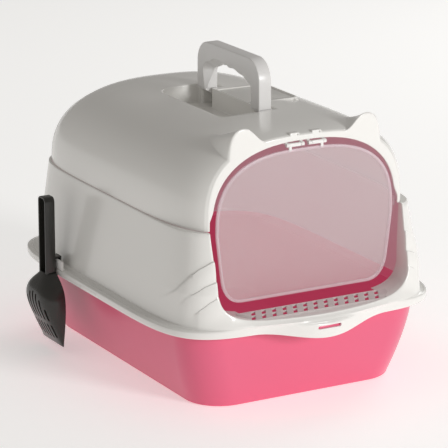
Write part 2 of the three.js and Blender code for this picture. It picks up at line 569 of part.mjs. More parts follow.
place("litter_pan", litterPan(), PINK);
place("lower_hood", lowerHood(), WHITE);
place("step_grid", stepGrid(), WHITE);
place("upper_hood", upperHood(), WHITE);
place("door_flap", doorFlap(), FROSTED);
for (const [name, side] of [["left", -1], ["right", 1]]) {
  place(`door_pin_${name}`, doorPin(side), WHITE);
  place(`hinge_clip_${name}`, hingeClip(side), WHITE);
}
place("carry_handle", carryHandle(), WHITE);
place("handle_pin_front", handlePin(HANDLE.y0 + HANDLE.leg / 2), WHITE);
place("handle_pin_rear", handlePin(HANDLE.y1 - HANDLE.leg / 2), WHITE);
place("filter_lid", filterLid(), WHITE);
place("lid_pin_front", lidPin(VENT.y0 - 2.4, VENT.y0 + LID_HINGE.barrelLength - 0.6), WHITE);
place("lid_pin_rear", lidPin(VENT.y1 - LID_HINGE.barrelLength + 0.6, VENT.y1 + 2.4), WHITE);
place("filter_tray", filterTray(), WHITE);
place("carbon_filter", carbonFilter(), CARBON);
place("scoop_holder", scoopHolder(), WHITE);
place("litter_scoop", litterScoop(), CHARCOAL);

export default group;
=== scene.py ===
"""Looks of the hooded cat litter box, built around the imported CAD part.

Lengths inside this script are millimetres in the part's frame (origin under the pan's middle,
+Z up, doorway towards -Y) and become metres when a mesh is made.
"""

import math

import bmesh
import bpy
import numpy as np
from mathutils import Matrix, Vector
from mathutils.geometry import delaunay_2d_cdt


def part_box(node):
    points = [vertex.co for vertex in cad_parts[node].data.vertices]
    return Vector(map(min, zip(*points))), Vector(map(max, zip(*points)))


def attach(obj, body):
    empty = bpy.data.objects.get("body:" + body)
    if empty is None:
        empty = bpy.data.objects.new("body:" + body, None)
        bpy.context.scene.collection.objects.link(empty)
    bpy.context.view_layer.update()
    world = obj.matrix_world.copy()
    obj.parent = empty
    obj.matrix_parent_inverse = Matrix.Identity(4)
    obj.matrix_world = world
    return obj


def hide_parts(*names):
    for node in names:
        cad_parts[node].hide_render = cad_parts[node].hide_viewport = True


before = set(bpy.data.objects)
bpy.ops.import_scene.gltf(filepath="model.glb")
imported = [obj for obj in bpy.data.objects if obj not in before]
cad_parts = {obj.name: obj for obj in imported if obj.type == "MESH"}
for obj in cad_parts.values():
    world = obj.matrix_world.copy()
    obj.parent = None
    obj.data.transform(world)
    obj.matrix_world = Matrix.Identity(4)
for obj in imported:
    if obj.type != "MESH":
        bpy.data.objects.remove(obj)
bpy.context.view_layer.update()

MM = 0.001
PI = math.pi


def cad(node):
    """Lowest and highest corners of a CAD node, in millimetres."""
    low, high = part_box(node)
    return np.array(low) / MM, np.array(high) / MM


# ---------------------------------------------------------------- driving dimensions
hood_low, hood_high = cad("upper_hood")
skirt_low, skirt_high = cad("lower_hood")
pan_high = cad("litter_pan")[1]
handle_low, handle_high = cad("carry_handle")
lid_low, lid_high = cad("filter_lid")
scoop_high = cad("litter_scoop")[1]
step_low, step_high = cad("step_grid")
tray_low, tray_high = cad("filter_tray")

SKIN = 2.6
SEAM = skirt_high[2]  # top of the lower hood
HOOD_BASE = SEAM + 0.4
HOOD_HALF = hood_high[0]
HOOD_RISE = 111.0
HOOD_FRONT, HOOD_FRONT_POWER, HOOD_FRONT_FALL = 236.0, 4.76, 0.34
HOOD_REAR, HOOD_REAR_POWER, HOOD_REAR_FALL = hood_high[1], 5.31, 2.03
ARCH_FRONT, ARCH_REAR = 2.98, 2.55
FACE_Y = hood_low[1]  # the hood's flat front

FLANGE_HALF, FLANGE_LENGTH, FLANGE_POWER = 193.3, skirt_high[1], 5.7
TONGUE_REACH, TONGUE_HALF = -skirt_low[1] - skirt_high[1], 95.0
WALL_FOOT = 113.0


# ---------------------------------------------------------------- mesh helpers
class Surface:
    """Vertices and faces gathered patch by patch, welded when the object is made."""

    def __init__(self):
        self.points, self.faces, self.marks = [], [], []
        self.mark = 0  # material number of the faces being added

    def add(self, points, faces):
        start = len(self.points)
        self.points.extend(np.asarray(points, float).reshape(-1, 3).tolist())
        self.faces.extend([tuple(start + i for i in f) for f in faces])
        self.marks.extend([self.mark] * len(faces))

    def grid(self, rows, closed=False):
        """Rows of equally many points, joined by quads; closed joins each row's ends."""
        rows = [np.asarray(r, float) for r in rows]
        count = len(rows[0])
        faces = []
        for r in range(len(rows) - 1):
            for i in range(count if closed else count - 1):
                j = (i + 1) % count
                faces.append((r * count + i, r * count + j, (r + 1) * count + j, (r + 1) * count + i))
        self.add(np.concatenate(rows), faces)

    def cap(self, ring):
        self.add(ring, [tuple(range(len(ring)))])

    def solid(self, rings):
        """A closed tube through the rings, with both ends capped."""
        self.grid(rings, closed=True)
        self.cap(rings[0][::-1])
        self.cap(rings[-1])

    def fill(self, outline, holes=(), axes=(0, 1), inner=None, creases=(), shape=None):
        """Triangles between an outline and its holes, seen along the axis not in axes.

        They pass through the inner points and the crease lines; shape moves the points afterwards.
        """
        loops = [np.asarray(loop, float) for loop in (outline, *holes)]
        edges, start = [], 0
        for loop in loops:
            n = len(loop)
            edges += [(start + i, start + (i + 1) % n) for i in range(n)]
            start += n
        for crease in creases:
            edges += [(start + i, start + i + 1) for i in range(len(crease) - 1)]
            start += len(crease)
        points = np.concatenate(loops + list(creases) + ([] if inner is None else [inner]))
        made = delaunay_2d_cdt([Vector(p) for p in points[:, axes]], edges, [], 1, 1e-5)
        if not all(made[3]):
            crossing = [tuple(made[0][i]) for i, origin in enumerate(made[3]) if not origin]
            raise ValueError(f"lines cross at {crossing[:8]}")
        spots = np.array([points[o[0]] for o in made[3]])
        faces = np.array(made[2])
        middle = spots[:, axes][faces].mean(1)
        keep = inside(middle, loops[0][:, axes])
        for hole in loops[1:]:
            keep &= ~inside(middle, hole[:, axes])
        self.add(shape(spots) if shape else spots, faces[keep].tolist())

    def build(self, name, body, material, nodes=(), sharp=32.0, inside=None):
        mesh = bpy.data.meshes.new(name)
        mesh.from_pydata([[v * MM for v in p] for p in self.points], [], self.faces)
        mesh.polygons.foreach_set("material_index", self.marks)
        bm = bmesh.new()
        bm.from_mesh(mesh)
        bmesh.ops.remove_doubles(bm, verts=bm.verts, dist=2e-6)
        bmesh.ops.dissolve_degenerate(bm, edges=bm.edges, dist=1e-7)
        bmesh.ops.recalc_face_normals(bm, faces=bm.faces)
        bm.to_mesh(mesh)
        bm.free()
        piece = place(name, mesh, body, material, nodes, sharp)
        if inside:
            mesh.materials.append(inside)
        return piece


def place(name, mesh, body, material, nodes=(), sharp=32.0):
    piece = bpy.data.objects.new(name, mesh)
    bpy.context.scene.collection.objects.link(piece)
    mesh.polygons.foreach_set("use_smooth", [True] * len(mesh.polygons))
    mesh.set_sharp_from_angle(angle=math.radians(sharp))
    mesh.materials.append(material)
    if body:
        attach(piece, body)
    if nodes:
        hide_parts(*nodes)
    return piece


def inside(spots, polygon):
    """Which 2-D spots lie in a polygon."""
    x, y = spots[:, 0][:, None], spots[:, 1][:, None]
    a, b = polygon, np.roll(polygon, -1, 0)
    crosses = (a[:, 1] > y) != (b[:, 1] > y)
    with np.errstate(divide="ignore", invalid="ignore"):
        at = a[:, 0] + (y - a[:, 1]) / (b[:, 1] - a[:, 1]) * (b[:, 0] - a[:, 0])
    return (crosses & (x < at)).sum(1) % 2 == 1


def clearance(spots, line, closed=True):
    """Distance from each 2-D spot to the nearest edge of a line."""
    steps = np.roll(line, -1, 0) - line
    best = np.full(len(spots), 1e9)
    for start, run in zip(line, steps if closed else steps[:-1]):
        t = np.clip(((spots - start) @ run) / max(run @ run, 1e-12), 0, 1)
        best = np.minimum(best, np.linalg.norm(spots - start - t[:, None] * run, axis=1))
    return best


def rounded_rectangle(x0, x1, y0, y1, radii, steps=6):
    """Counter-clockwise outline from the (x1, y1) corner; radii in the same order."""
    r11, r01, r00, r10 = radii
    centers = [(x1 - r11, y1 - r11, r11), (x0 + r01, y1 - r01, r01),
               (x0 + r00, y0 + r00, r00), (x1 - r10, y0 + r10, r10)]
    points = []
    for quarter, (x, y, r) in enumerate(centers):
        for turn in np.linspace(quarter, quarter + 1, steps + 1) * PI / 2:
            points.append((x + r * math.cos(turn), y + r * math.sin(turn)))
    return np.array(points)


def quarter_round(radius, steps):
    """Inset and drop of the points round a quarter turn, from full inset to none."""
    for turn in np.linspace(0, PI / 2, steps):
        yield radius * (1 - math.sin(turn)), radius * (1 - math.cos(turn))


def run_along(points, step=1.0):
    """Distance along a line of points, counted in steps."""
    lengths = np.linalg.norm(np.diff(points, axis=0), axis=1)
    return np.concatenate([[0], np.cumsum(lengths / step)])


def evenly(points, count):
    """The same line with count points, evenly along its length."""
    run = run_along(points)
    at = np.linspace(0, run[-1], count)
    return np.stack([np.interp(at, run, points[:, k]) for k in range(points.shape[1])], 1)


def raised(flat, z):
    """Points (x, y) at height z."""
    return np.stack([flat[:, 0], flat[:, 1], np.broadcast_to(z, len(flat))], 1)


def upright(flat, y):
    """Points (x, z) in the plane at y."""
    return np.stack([flat[:, 0], np.broadcast_to(y, len(flat)), flat[:, 1]], 1)


def facing_left(flat, x):
    """Points (y, z) in the plane at x."""
    return np.stack([np.broadcast_to(x, len(flat)), flat[:, 0], flat[:, 1]], 1)


def circle(x, y, radius, count):
    turn = np.linspace(0, 2 * PI, count + 1)[:-1]
    return np.stack([x + radius * np.cos(turn), y + radius * np.sin(turn)], 1)


def joined_halves(half):
    """Angles up to a half turn, followed by their mirror images."""
    return np.concatenate([half, 2 * PI - half[:-1][::-1]])


def signed_power(value, power):
    return np.sign(value) * np.abs(value) ** power


def bell(x, half):
    return np.where(np.abs(x) < half, np.cos(PI * x / (2 * half)) ** 2, 0.0)


def smooth(a, b, x):
    t = np.clip((x - a) / (b - a), 0, 1)
    return t * t * (3 - 2 * t)


# ---------------------------------------------------------------- materials
def shader(name, color, roughness, **sockets):
    """A material with its Principled shader; the sockets are set directly on it."""
    material = bpy.data.materials.new(name)
    material.use_nodes = True
    principled = material.node_tree.nodes["Principled BSDF"]
    principled.inputs["Base Color"].default_value = (*color, 1)
    principled.inputs["Roughness"].default_value = roughness
    for key, value in sockets.items():
        principled.inputs[key.replace("_", " ")].default_value = value
    return material, principled


def noise(tree, scale, detail, coordinates, stretch=(1, 1, 1)):
    mapping = tree.nodes.new("ShaderNodeMapping")
    mapping.inputs["Scale"].default_value = stretch
    tree.links.new(coordinates, mapping.inputs["Vector"])
    texture = tree.nodes.new("ShaderNodeTexNoise")
    texture.inputs["Scale"].default_value = scale
    texture.inputs["Detail"].default_value = detail
    tree.links.new(mapping.outputs["Vector"], texture.inputs["Vector"])
    return texture.outputs["Fac"]


def spread(tree, value, low, high):
    node = tree.nodes.new("ShaderNodeMapRange")
    node.inputs["To Min"].default_value = low
    node.inputs["To Max"].default_value = high
    tree.links.new(value, node.inputs["Value"])
    return node.outputs["Result"]


def blend_colors(tree, value, low, high):
    node = tree.nodes.new("ShaderNodeMix")
    node.data_type = "RGBA"
    node.inputs["A"].default_value = (*low, 1)
    node.inputs["B"].default_value = (*high, 1)
    tree.links.new(value, node.inputs["Factor"])
    return node.outputs["Result"]


def grain_bump(tree, principled, height, strength, distance):
    bump = tree.nodes.new("ShaderNodeBump")
    bump.inputs["Strength"].default_value = strength
    bump.inputs["Distance"].default_value = distance * MM
    tree.links.new(height, bump.inputs["Height"])
    tree.links.new(bump.outputs["Normal"], principled.inputs["Normal"])


def moulded(name, color, roughness, tint=0.03, grain=0.01, **sockets):
    """Injection-moulded plastic: broad flow marks in the colour, uneven gloss, a fine skin grain."""
    material, principled = shader(name, color, roughness, **sockets)
    tree = material.node_tree
    place_at = tree.nodes.new("ShaderNodeTexCoord").outputs["Object"]
    flow = noise(tree, 7, 2, place_at, (1, 0.6, 1.6))
    scuffs = noise(tree, 30, 3, place_at)
    skin = noise(tree, 1400, 2, place_at)
    darker = tuple(c * (1 - tint) for c in color)
    shades = blend_colors(tree, spread(tree, flow, 0, 1), darker, color)
    gloss = spread(tree, scuffs, roughness * 0.88, roughness * 1.12)
    tree.links.new(shades, principled.inputs["Base Color"])
    tree.links.new(gloss, principled.inputs["Roughness"])
    grain_bump(tree, principled, skin, 0.12, grain)
    return material


hood_white = moulded("white_plastic", (0.86, 0.85, 0.82), 0.22, Coat_Weight=0.3, Coat_Roughness=0.1)
# The inner skin is painted light: a darker mauve copy of the white plastic (painted shade) with an emission
# (painted glow) standing in for daylight through the thin walls and off the pink pan.
hood_inside_painted_shade_glow = moulded("white_plastic_inside_painted_shade_glow", (0.6, 0.53, 0.54), 0.45,
                      Emission_Color=(0.34, 0.2, 0.23, 1), Emission_Strength=0.42)
handle_white = moulded("handle_plastic", (0.8, 0.79, 0.78), 0.3)
clip_white = moulded("clip_plastic", (0.86, 0.85, 0.83), 0.3)
# The step is white plastic painted a darker grey-pink: painted shade from the hood above it, with painted
# pink bounce light.
step_painted_shade = moulded("step_plastic", (0.66, 0.6, 0.59), 0.34)
lid_white = moulded("lid_plastic", (0.72, 0.71, 0.68), 0.3)
tray_white = moulded("tray_plastic", (0.78, 0.77, 0.74), 0.5, grain=0.04)
pin_white = moulded("pin_plastic", (0.82, 0.81, 0.79), 0.25)
pan_pink = moulded("pink_plastic", (0.78, 0.13, 0.235), 0.3, Coat_Weight=0.15, Coat_Roughness=0.15)
# The pan's inner skin is painted light: a darker copy of the pink plastic (painted shade) with an emission
# (painted glow) standing in for bounce light inside the box.
pan_inside_painted_shade_glow = moulded("pink_plastic_inside_painted_shade_glow", (0.42, 0.045, 0.1), 0.4,
                     Emission_Color=(0.62, 0.08, 0.17, 1), Emission_Strength=0.34)
scoop_black = moulded("charcoal_plastic", (0.03, 0.029, 0.025), 0.24, tint=0.15)


def frosted(name, color, alpha, roughness):
    """Translucent plastic with a cloudy veil that thickens and thins a little."""
    material = moulded(name, color, roughness, tint=0.03, Alpha=alpha, IOR=1.45)
    tree = material.node_tree
    cloud = noise(tree, 16, 3, tree.nodes.new("ShaderNodeTexCoord").outputs["Object"])
    veil = spread(tree, cloud, alpha * 0.97, alpha * 1.03)
    tree.links.new(veil, tree.nodes["Principled BSDF"].inputs["Alpha"])
    return material


door_clear = frosted("frosted_plastic", (0.8, 0.78, 0.78), 0.27, 0.3)
door_rim = frosted("frosted_rim", (0.9, 0.8, 0.84), 0.42, 0.25)


def carbon_felt():
    material, principled = shader("carbon", (0.02, 0.02, 0.02), 0.95)
    tree = material.node_tree
    place_at = tree.nodes.new("ShaderNodeTexCoord").outputs["Object"]
    fibre = noise(tree, 900, 8, place_at, (1, 3, 1))
    shades = blend_colors(tree, fibre, (0.008, 0.008, 0.008), (0.05, 0.05, 0.05))
    tree.links.new(shades, principled.inputs["Base Color"])
    grain_bump(tree, principled, fibre, 1.0, 0.4)
    return material


# ---------------------------------------------------------------- shared shapes
def plan_ring(turn, z, width, front, rear, front_power, rear_power):
    """Points of a rounded-box plan at angles turn, measured from the front towards +X."""
    s, c = np.sin(turn), -np.cos(turn)
    power = np.where(c < 0, front_power, rear_power)
    r = (np.abs(s) ** power + np.abs(c) ** power) ** (-1 / power)
    return np.stack([width * r * s, np.where(c < 0, front, rear) * r * c, np.full_like(s, z)], -1)


TOP_ROUND = 1.0
WALL_REAR_POWER = 5.7
BULGE_HALF = 130  # half width of the bulge under the doorway


def wall_shape(z, inset):
    """The lower hood's plan at height z: width, front, rear, front power, and how far the sill bulges."""
    drop = SEAM - z
    lip = np.clip((150 - z) / 37, 0, 1) ** 1.5
    return (164.5 + 0.137 * drop - inset, 223 + 0.175 * drop + 7 * (drop / 113) ** 6 - inset,
            232 + 0.07 * drop - inset, 8 - 2 * np.maximum(0, (drop - 73) / 40), 16 * lip)


def wall_inset(z):
    """The top edge of the lower hood's wall is rounded inwards."""
    over = np.clip(z - (SEAM - TOP_ROUND), 0, TOP_ROUND)
    return TOP_ROUND - np.sqrt(TOP_ROUND ** 2 - over ** 2)


# Whisker steps on the front corners, (x, z): each line starts at the doorway, then runs back.
WHISKERS = (
    ((137, 194), (150.7, 185.2), (159.9, 175), (167.3, 161.7), (172.2, 149), (177, 132)),
    ((134.2, 170), (148, 164.3), (162.5, 152.2), (166.6, 145.4), (174.2, 125.6)),
    ((133, 152.2), (144.5, 145.4), (155, 136), (162.2, 126.3)),
)
WHISKER_PROUD, STEP_WIDTH = 2.6, 0.8
WHISKER_Y, WHISKER_X = -110, 120  # the steps lie in front of and outside these


def whisker_swell(x, y, z):
    """How far the overlapping whisker steps stand out of the wall at a point."""
    across = np.abs(x)
    swell = np.zeros_like(across)
    for line in WHISKERS:
        xs, zs = np.array(line).T
        edge = np.interp(across, xs, zs)
        along = (across - xs[0]) / (xs[-1] - xs[0])
        fade = (1 - 0.6 * np.clip(along, 0, 1)) * (1 - smooth(0.8, 1.0, along))
        below = smooth(0.0, STEP_WIDTH, edge - z)
        taper = 1 - smooth(4, 34, edge - z)
        swell = np.maximum(swell, WHISKER_PROUD * fade * below * taper)
    return np.where((y < WHISKER_Y) & (across > WHISKER_X), swell, 0.0)


def whiskered(points, inset=0.0):
    """Points of the lower hood's wall, moved out along its plan's normal by the whisker steps."""
    width, front, _, power, _ = wall_shape(points[:, 2], inset + wall_inset(points[:, 2]))
    size = np.stack([width, front], 1)
    away = points[:, :2] / size ** 2 * np.abs(points[:, :2] / size) ** (power.reshape(-1, 1) - 2)
    away /= np.linalg.norm(away, axis=1, keepdims=True) + 1e-12
    return points + np.column_stack([away, away[:, 0] * 0]) * whisker_swell(*points.T)[:, None]


def wall_front(x, z, inset=0.0):
    """Points of the lower hood's front wall at (x, z), before the whisker steps."""
    z = z * np.ones_like(x)
    width, front, _, power, bulge = wall_shape(z, inset + wall_inset(z))
    across = np.clip(np.abs(x / width), 0, 0.9999)
    y = -front * (1 - across ** power) ** (1 / power) - bulge * bell(x, BULGE_HALF)
    return np.stack([x, y, z], -1)


def wall_ring(turn, z, inset=0.0, swell=True):
    width, front, rear, power, bulge = wall_shape(z, inset + wall_inset(z))
    ring = plan_ring(turn, z, width, front, rear, power, WALL_REAR_POWER)
    ring[:, 1] -= np.where(np.cos(turn) > 0, bulge * bell(ring[:, 0], BULGE_HALF), 0)
    return whiskered(ring, inset) if swell else ring


def flange_ring(turn, z, inset, dip=0.0):
    length = FLANGE_LENGTH - inset
    ring = plan_ring(turn, z, FLANGE_HALF - inset, length, length, FLANGE_POWER, FLANGE_POWER)
    swell = np.where(np.cos(turn) > 0, bell(ring[:, 0], TONGUE_HALF), 0)
    ring[:, 1] -= TONGUE_REACH * swell
    ring[:, 2] -= dip * swell
    return ring


# ---------------------------------------------------------------- the doorway
DOOR_SILL, CORNER_TOP, SIDE_HALF = 118.0, 158.0, 134.5


def doorway_low(grow):
    """The doorway's outline in the lower hood, (x, z), from the top right down and up to the top left."""
    turn = np.linspace(0, PI / 2, 400)
    x = (SIDE_HALF + grow) * np.abs(np.cos(turn)) ** (2 / 6.0)
    z = CORNER_TOP - (CORNER_TOP - DOOR_SILL + grow) * np.sin(turn) ** (2 / 2.6)
    x[-1] = 0
    corner = evenly(np.stack([x, z], 1), 72)
    rounding = SEAM - TOP_ROUND * (1 - np.sin(np.linspace(PI / 2, 0, 5)))[:-1]
    z = np.concatenate([rounding, np.linspace(SEAM - TOP_ROUND, CORNER_TOP, 42)])[:-1]
    side = np.stack([SIDE_HALF + grow + 1.3 * smooth(170, SEAM, z), z], 1)
    right = np.concatenate([side, corner])
    left = right[::-1][1:] * [-1, 1]
    return np.concatenate([right, left])


def doorway_high(turn, grow):
    """The doorway's outline in the upper hood at arch angles turn, (x, z)."""
    half, rise, base, power = 129.0 + grow, 88.5 + grow, 235.0, 2.5
    c, s = np.cos(turn), np.sin(turn)
    r = (np.abs(c) ** power + np.abs(s) ** power) ** (-1 / power)
    x = half * r * c
    z = HOOD_BASE + (base + rise - HOOD_BASE) * r * s
    flare = np.clip((250 - z) / (250 - HOOD_BASE), 0, 1) ** 1.3
    return x + np.sign(c) * 8.0 * flare, z


# ---------------------------------------------------------------- lower hood
EDGE = 1.4  # rounding of the doorway's edges
TUNNEL_END = -207.0
SHELF = 5.0  # from the upper hood's outside to the shelf's inner edge
SLOT_HALF, SLOT_LOW, SLOT_HIGH = 16.4, 101.6, 105.8
RIM_COLUMNS, PATCH_COLUMNS = 45, 11  # mesh columns below the doorway, and from there to the patch's end
PATCH_SPACING = 2.0


def front_limits():
    """Plan angles where the doorway's edge meets the wall's top, and where the front patch ends."""
    width, _, _, power, _ = wall_shape(SEAM, TOP_ROUND)
    part = doorway_low(EDGE)[0, 0] / width
    return math.atan2(part, (1 - part ** power) ** (1 / power)), math.radians(46)


def plan_turns():
    """Angles of the plan's columns from the front round one side to the back."""
    start, corner = front_limits()
    probe = np.linspace(corner, PI, 2000)
    ring = wall_ring(probe, 170.0, swell=False)
    step = np.interp(ring[1:, 1], [-185, -120, -60, 150, 205, 232], [1.7, 2.6, 6, 6, 3.5, 7])
    run = run_along(ring, step)
    around = np.interp(np.linspace(0, run[-1], int(run[-1]) + 1), run, probe)
    below = np.linspace(0, start, RIM_COLUMNS + 1)[:-1]
    beside = np.linspace(start, corner, PATCH_COLUMNS + 1)[:-1]
    return np.concatenate([below, beside, around]), RIM_COLUMNS, RIM_COLUMNS + PATCH_COLUMNS


def whisker_creases(loop):
    """Both edges of each whisker step as lines on the wall, cut where they leave the loop."""
    creases = []
    for line in WHISKERS:
        xs, zs = np.array(line).T
        along = np.arange(xs[0], xs[-1], 1.6)
        for side in (-1, 1):
            for drop in (0, STEP_WIDTH):
                crease = wall_front(side * along, np.interp(along, xs, zs) - drop)
                near = crease[:, [0, 2]]
                kept = inside(near, loop) & (clearance(near, loop) > 1.2)
                runs = np.split(crease, np.flatnonzero(np.diff(kept)) + 1)[0 if kept[0] else 1::2]
                creases += [run for run in runs if len(run) > 1]
    return creases


def front_patch(body, turns, edge, corner, rows):
    """The wall around the doorway, through scattered points and the whiskers' creases."""
    rim = doorway_low(EDGE)
    rim = wall_front(rim[:, 0], rim[:, 1])
    side = np.array([wall_ring(turns[corner:corner + 1], z, swell=False)[0] for z in rows])
    top = wall_ring(turns[edge + 1:corner], rows[-1], swell=False)
    bottom = wall_ring(turns[:corner], rows[0], swell=False)
    mirror = np.array([-1, 1, 1])
    outline = np.concatenate([rim, top * mirror, side[::-1] * mirror, bottom[:0:-1] * mirror,
                              bottom, side, top[::-1]])
    x, z = np.meshgrid(np.arange(-185, 186, PATCH_SPACING), np.arange(rows[0], rows[-1], PATCH_SPACING))
    flat = np.stack([x.ravel(), z.ravel()], 1)
    loop = outline[:, [0, 2]]
    flat = flat[inside(flat, loop)]
    flat = flat[clearance(flat, loop) > 0.6 * PATCH_SPACING]
    creases = whisker_creases(loop)
    for crease in creases:
        flat = flat[clearance(flat, crease[:, [0, 2]], closed=False) > 0.7]
    inner = wall_front(flat[:, 0], flat[:, 1])
    body.fill(outline, axes=(0, 2), inner=inner, creases=creases, shape=whiskered)
    return whiskered(rim)


def lower_hood():
    body = Surface()
    half, edge, corner = plan_turns()
    closed = joined_halves(half)[:-1]
    back = joined_halves(half[corner:])
    low_rows = np.arange(WALL_FOOT, 200, 1.6)
    rounding = SEAM - TOP_ROUND * (1 - np.sin(np.linspace(0, PI / 2, 5)))
    high_rows = np.linspace(low_rows[-1] + 2.4, SEAM - TOP_ROUND, 9)
    rows = np.concatenate([low_rows, high_rows, rounding[1:]])
    body.grid([wall_ring(back, z) for z in rows])
    rim = front_patch(body, half, edge, corner, rows)

    inner_rows = np.linspace(WALL_FOOT - 1, SEAM - SKIN, 24)
    body.mark = 1
    body.grid([wall_ring(back, z, SKIN) for z in inner_rows])
    body.mark = 0
    inner_rim = doorway_low(SKIN)
    inner_rim = wall_front(inner_rim[:, 0], np.minimum(inner_rim[:, 1], SEAM - SKIN), SKIN)

    doorway_returns(body, rim, inner_rim)
    top_shelf(body, half, edge, rim)
    flange(body, closed)
    body.build("skirt_shell", "skirt", hood_white, ["lower_hood"], 38, hood_inside_painted_shade_glow)


def return_end(outline):
    """How far back the doorway's returns reach: the sill stops where the perforated step begins."""
    on_sill = (np.abs(outline[:, 0]) < step_high[0] - 9) & (outline[:, 1] < 126)
    return np.where(on_sill, step_low[1] - 0.4, TUNNEL_END)


def doorway_returns(body, rim, inner_rim):
    loops = [rim]
    for inset, drop in list(quarter_round(EDGE, 5))[1:]:
        loops.append(upright(doorway_low(inset), rim[:, 1] + drop))
    flush, outer = doorway_low(0), doorway_low(SKIN)
    end = return_end(flush)
    rounded = loops[-1][:, 1]
    loops += [upright(flush, rounded * (1 - part) + end * part) for part in (0.33, 0.66, 1.0)]
    loops += [upright(outer, end), upright(outer, np.minimum(inner_rim[:, 1], end))]
    body.grid(loops)


def seam_ring(turns, z, inset):
    """The upper hood's plan where the halves meet."""
    ring = plan_ring(turns, z, HOOD_HALF - inset, HOOD_FRONT - inset, HOOD_REAR - inset,
                     HOOD_FRONT_POWER, HOOD_REAR_POWER)
    ring[:, 1] = np.maximum(ring[:, 1], FACE_Y + inset)
    return ring


def top_shelf(body, half, edge, rim):
    """The shelf along the wall's top, which carries the upper hood."""
    outer = wall_ring(joined_halves(half[edge:]), SEAM)
    turns = np.linspace(0, 2 * PI, 241)
    turns = turns[seam_ring(turns, SEAM, SHELF)[:, 1] > TUNNEL_END + 8]
    inner = seam_ring(turns, SEAM, SHELF)
    x = doorway_low(0)[0, 0]
    x_out = doorway_low(SKIN)[0, 0]
    right = np.array([(x_out, TUNNEL_END, SEAM), (x, TUNNEL_END, SEAM), (x, rim[0, 1] + EDGE, SEAM)])
    left = right[::-1] * [-1, 1, 1]
    body.fill(np.concatenate([outer, left, inner[::-1], right]), axes=(0, 1))
    body.mark = 1
    low = SEAM - SKIN
    body.grid([inner, seam_ring(turns, low, SHELF), wall_ring(turns, low, SKIN, swell=False)])
    body.mark = 0


def flange(body, turns):
    """Below the wall: a ledge with a groove, the skirt with its tongue and pull slot, and the inside."""
    foot = wall_ring(turns, WALL_FOOT)
    top_dip, low_dip = 2.0, 11.0  # how far the tongue pulls the skirt's top and lower edge down
    profile = [(0.1, 112.1), (0.25, 111.6), (0.5, 111.2), (0.54, 110.6), (0.59, 110.6), (0.63, 111.0),
               (0.85, 110.2), (0.95, 109.6), (0.99, 108.9)]
    rows = [foot]
    for part, z in profile:
        edge_ring = flange_ring(turns, z, 0.0, top_dip)
        ring = foot * (1 - part) + edge_ring * part
        ring[:, 2] = z - top_dip * part * np.where(np.cos(turns) > 0, bell(edge_ring[:, 0], TONGUE_HALF), 0)
        rows.append(ring)
    face_top, face_low = flange_ring(turns, 108.0, 0.0, top_dip), flange_ring(turns, 102.2, 0.0, low_dip)
    body.grid(rows + [face_top], closed=True)
    lower_edge = [flange_ring(turns, z, inset, low_dip)
                  for z, inset in ((101.4, 0.4), (101.0, 1.2), (101.0, SKIN))]
    back_low, back_top = lower_edge[-1], flange_ring(turns, 107.0, SKIN, 1.2)
    body.grid([face_low] + lower_edge, closed=True)

    near = np.where((np.abs(face_top[:, 0]) < SLOT_HALF + 8) & (np.cos(turns) > 0))[0]
    right, left = near[near < len(turns) // 2], near[near >= len(turns) // 2]
    order = np.concatenate([left, right])
    around = np.arange(right[-1], left[0] + 1)
    pill = rounded_rectangle(-SLOT_HALF, SLOT_HALF, SLOT_LOW, SLOT_HIGH, [2.0] * 4)
    outer_pill = upright(pill, -(FLANGE_LENGTH + TONGUE_REACH * bell(pill[:, 0], TONGUE_HALF)))
    inner_pill = outer_pill + [0, SKIN, 0]
    body.fill(np.concatenate([face_top[order], face_low[order][::-1]]), [outer_pill], axes=(0, 2))
    body.grid([face_top[around] * (1 - part) + face_low[around] * part for part in (0, 0.5, 1)])
    body.mark = 1
    body.grid([back_top, wall_ring(turns, WALL_FOOT - 1, SKIN)], closed=True)
    body.fill(np.concatenate([back_top[order], back_low[order][::-1]]), [inner_pill], axes=(0, 2))
    body.grid([outer_pill, inner_pill], closed=True)
    body.grid([back_low[around], back_top[around]])
    body.mark = 0


GRIP_START, GRIP_END = -28, 24


def side_grips():
    """A long finger ridge moulded on each side of the flange."""
    for name, side in (("left", -1), ("right", 1)):
        body = Surface()
        rows = []
        for z, proud in ((101.6, 0), (102.4, 0.9), (104.4, 1.1), (106.2, 0.9), (107, 0)):
            y = np.linspace(GRIP_START, GRIP_END, 30)
            ends = np.minimum(1, np.minimum(y - GRIP_START, GRIP_END - y) / 3.0) ** 0.5
            rows.append(np.stack([side * (FLANGE_HALF - 0.5 + proud * ends), y, np.full_like(y, z)], 1))
        body.grid(rows)
        body.build(f"skirt_grip_{name}", "skirt", hood_white)


# ---------------------------------------------------------------- upper hood
FRONT_ROUND = 2.0
EAR_DEPTH = 66.0
# The ear's outline on the front face, (x, z), from its outer foot over the tip to its inner foot.
EAR = np.array([(107.5, 308), (107, 318), (105.2, 330), (102.6, 338.5), (98.6, 344), (93, 347.2),
                (87, 348.4), (80.5, 347.2), (74, 342.6), (67, 335.4), (60.5, 330), (54, 328.6)])


def fullness(y, inset=0.0):
    reach = np.where(y < 0, HOOD_FRONT, HOOD_REAR) - inset
    power = np.where(y < 0, HOOD_FRONT_POWER, HOOD_REAR_POWER)
    return np.clip(1 - np.abs(y / reach) ** power, 0, 1) ** (1 / power)


def arch_numbers(y, inset=0.0):
    """Half width, rise and power of the hood's cross-section at y."""
    full = fullness(y, inset)
    fall = np.where(y < 0, HOOD_FRONT_FALL, HOOD_REAR_FALL)
    along = (y + HOOD_FRONT) / (HOOD_REAR + HOOD_FRONT)
    power = ARCH_FRONT + (ARCH_REAR - ARCH_FRONT) * along
    return (HOOD_HALF - inset) * full, (HOOD_RISE - inset) * full ** fall, power


def roof_z(x, y, inset=0.0):
    half, rise, power = arch_numbers(y, inset)
    return HOOD_BASE + rise * np.clip(1 - np.abs(x / half) ** power, 0, 1) ** (1 / power)


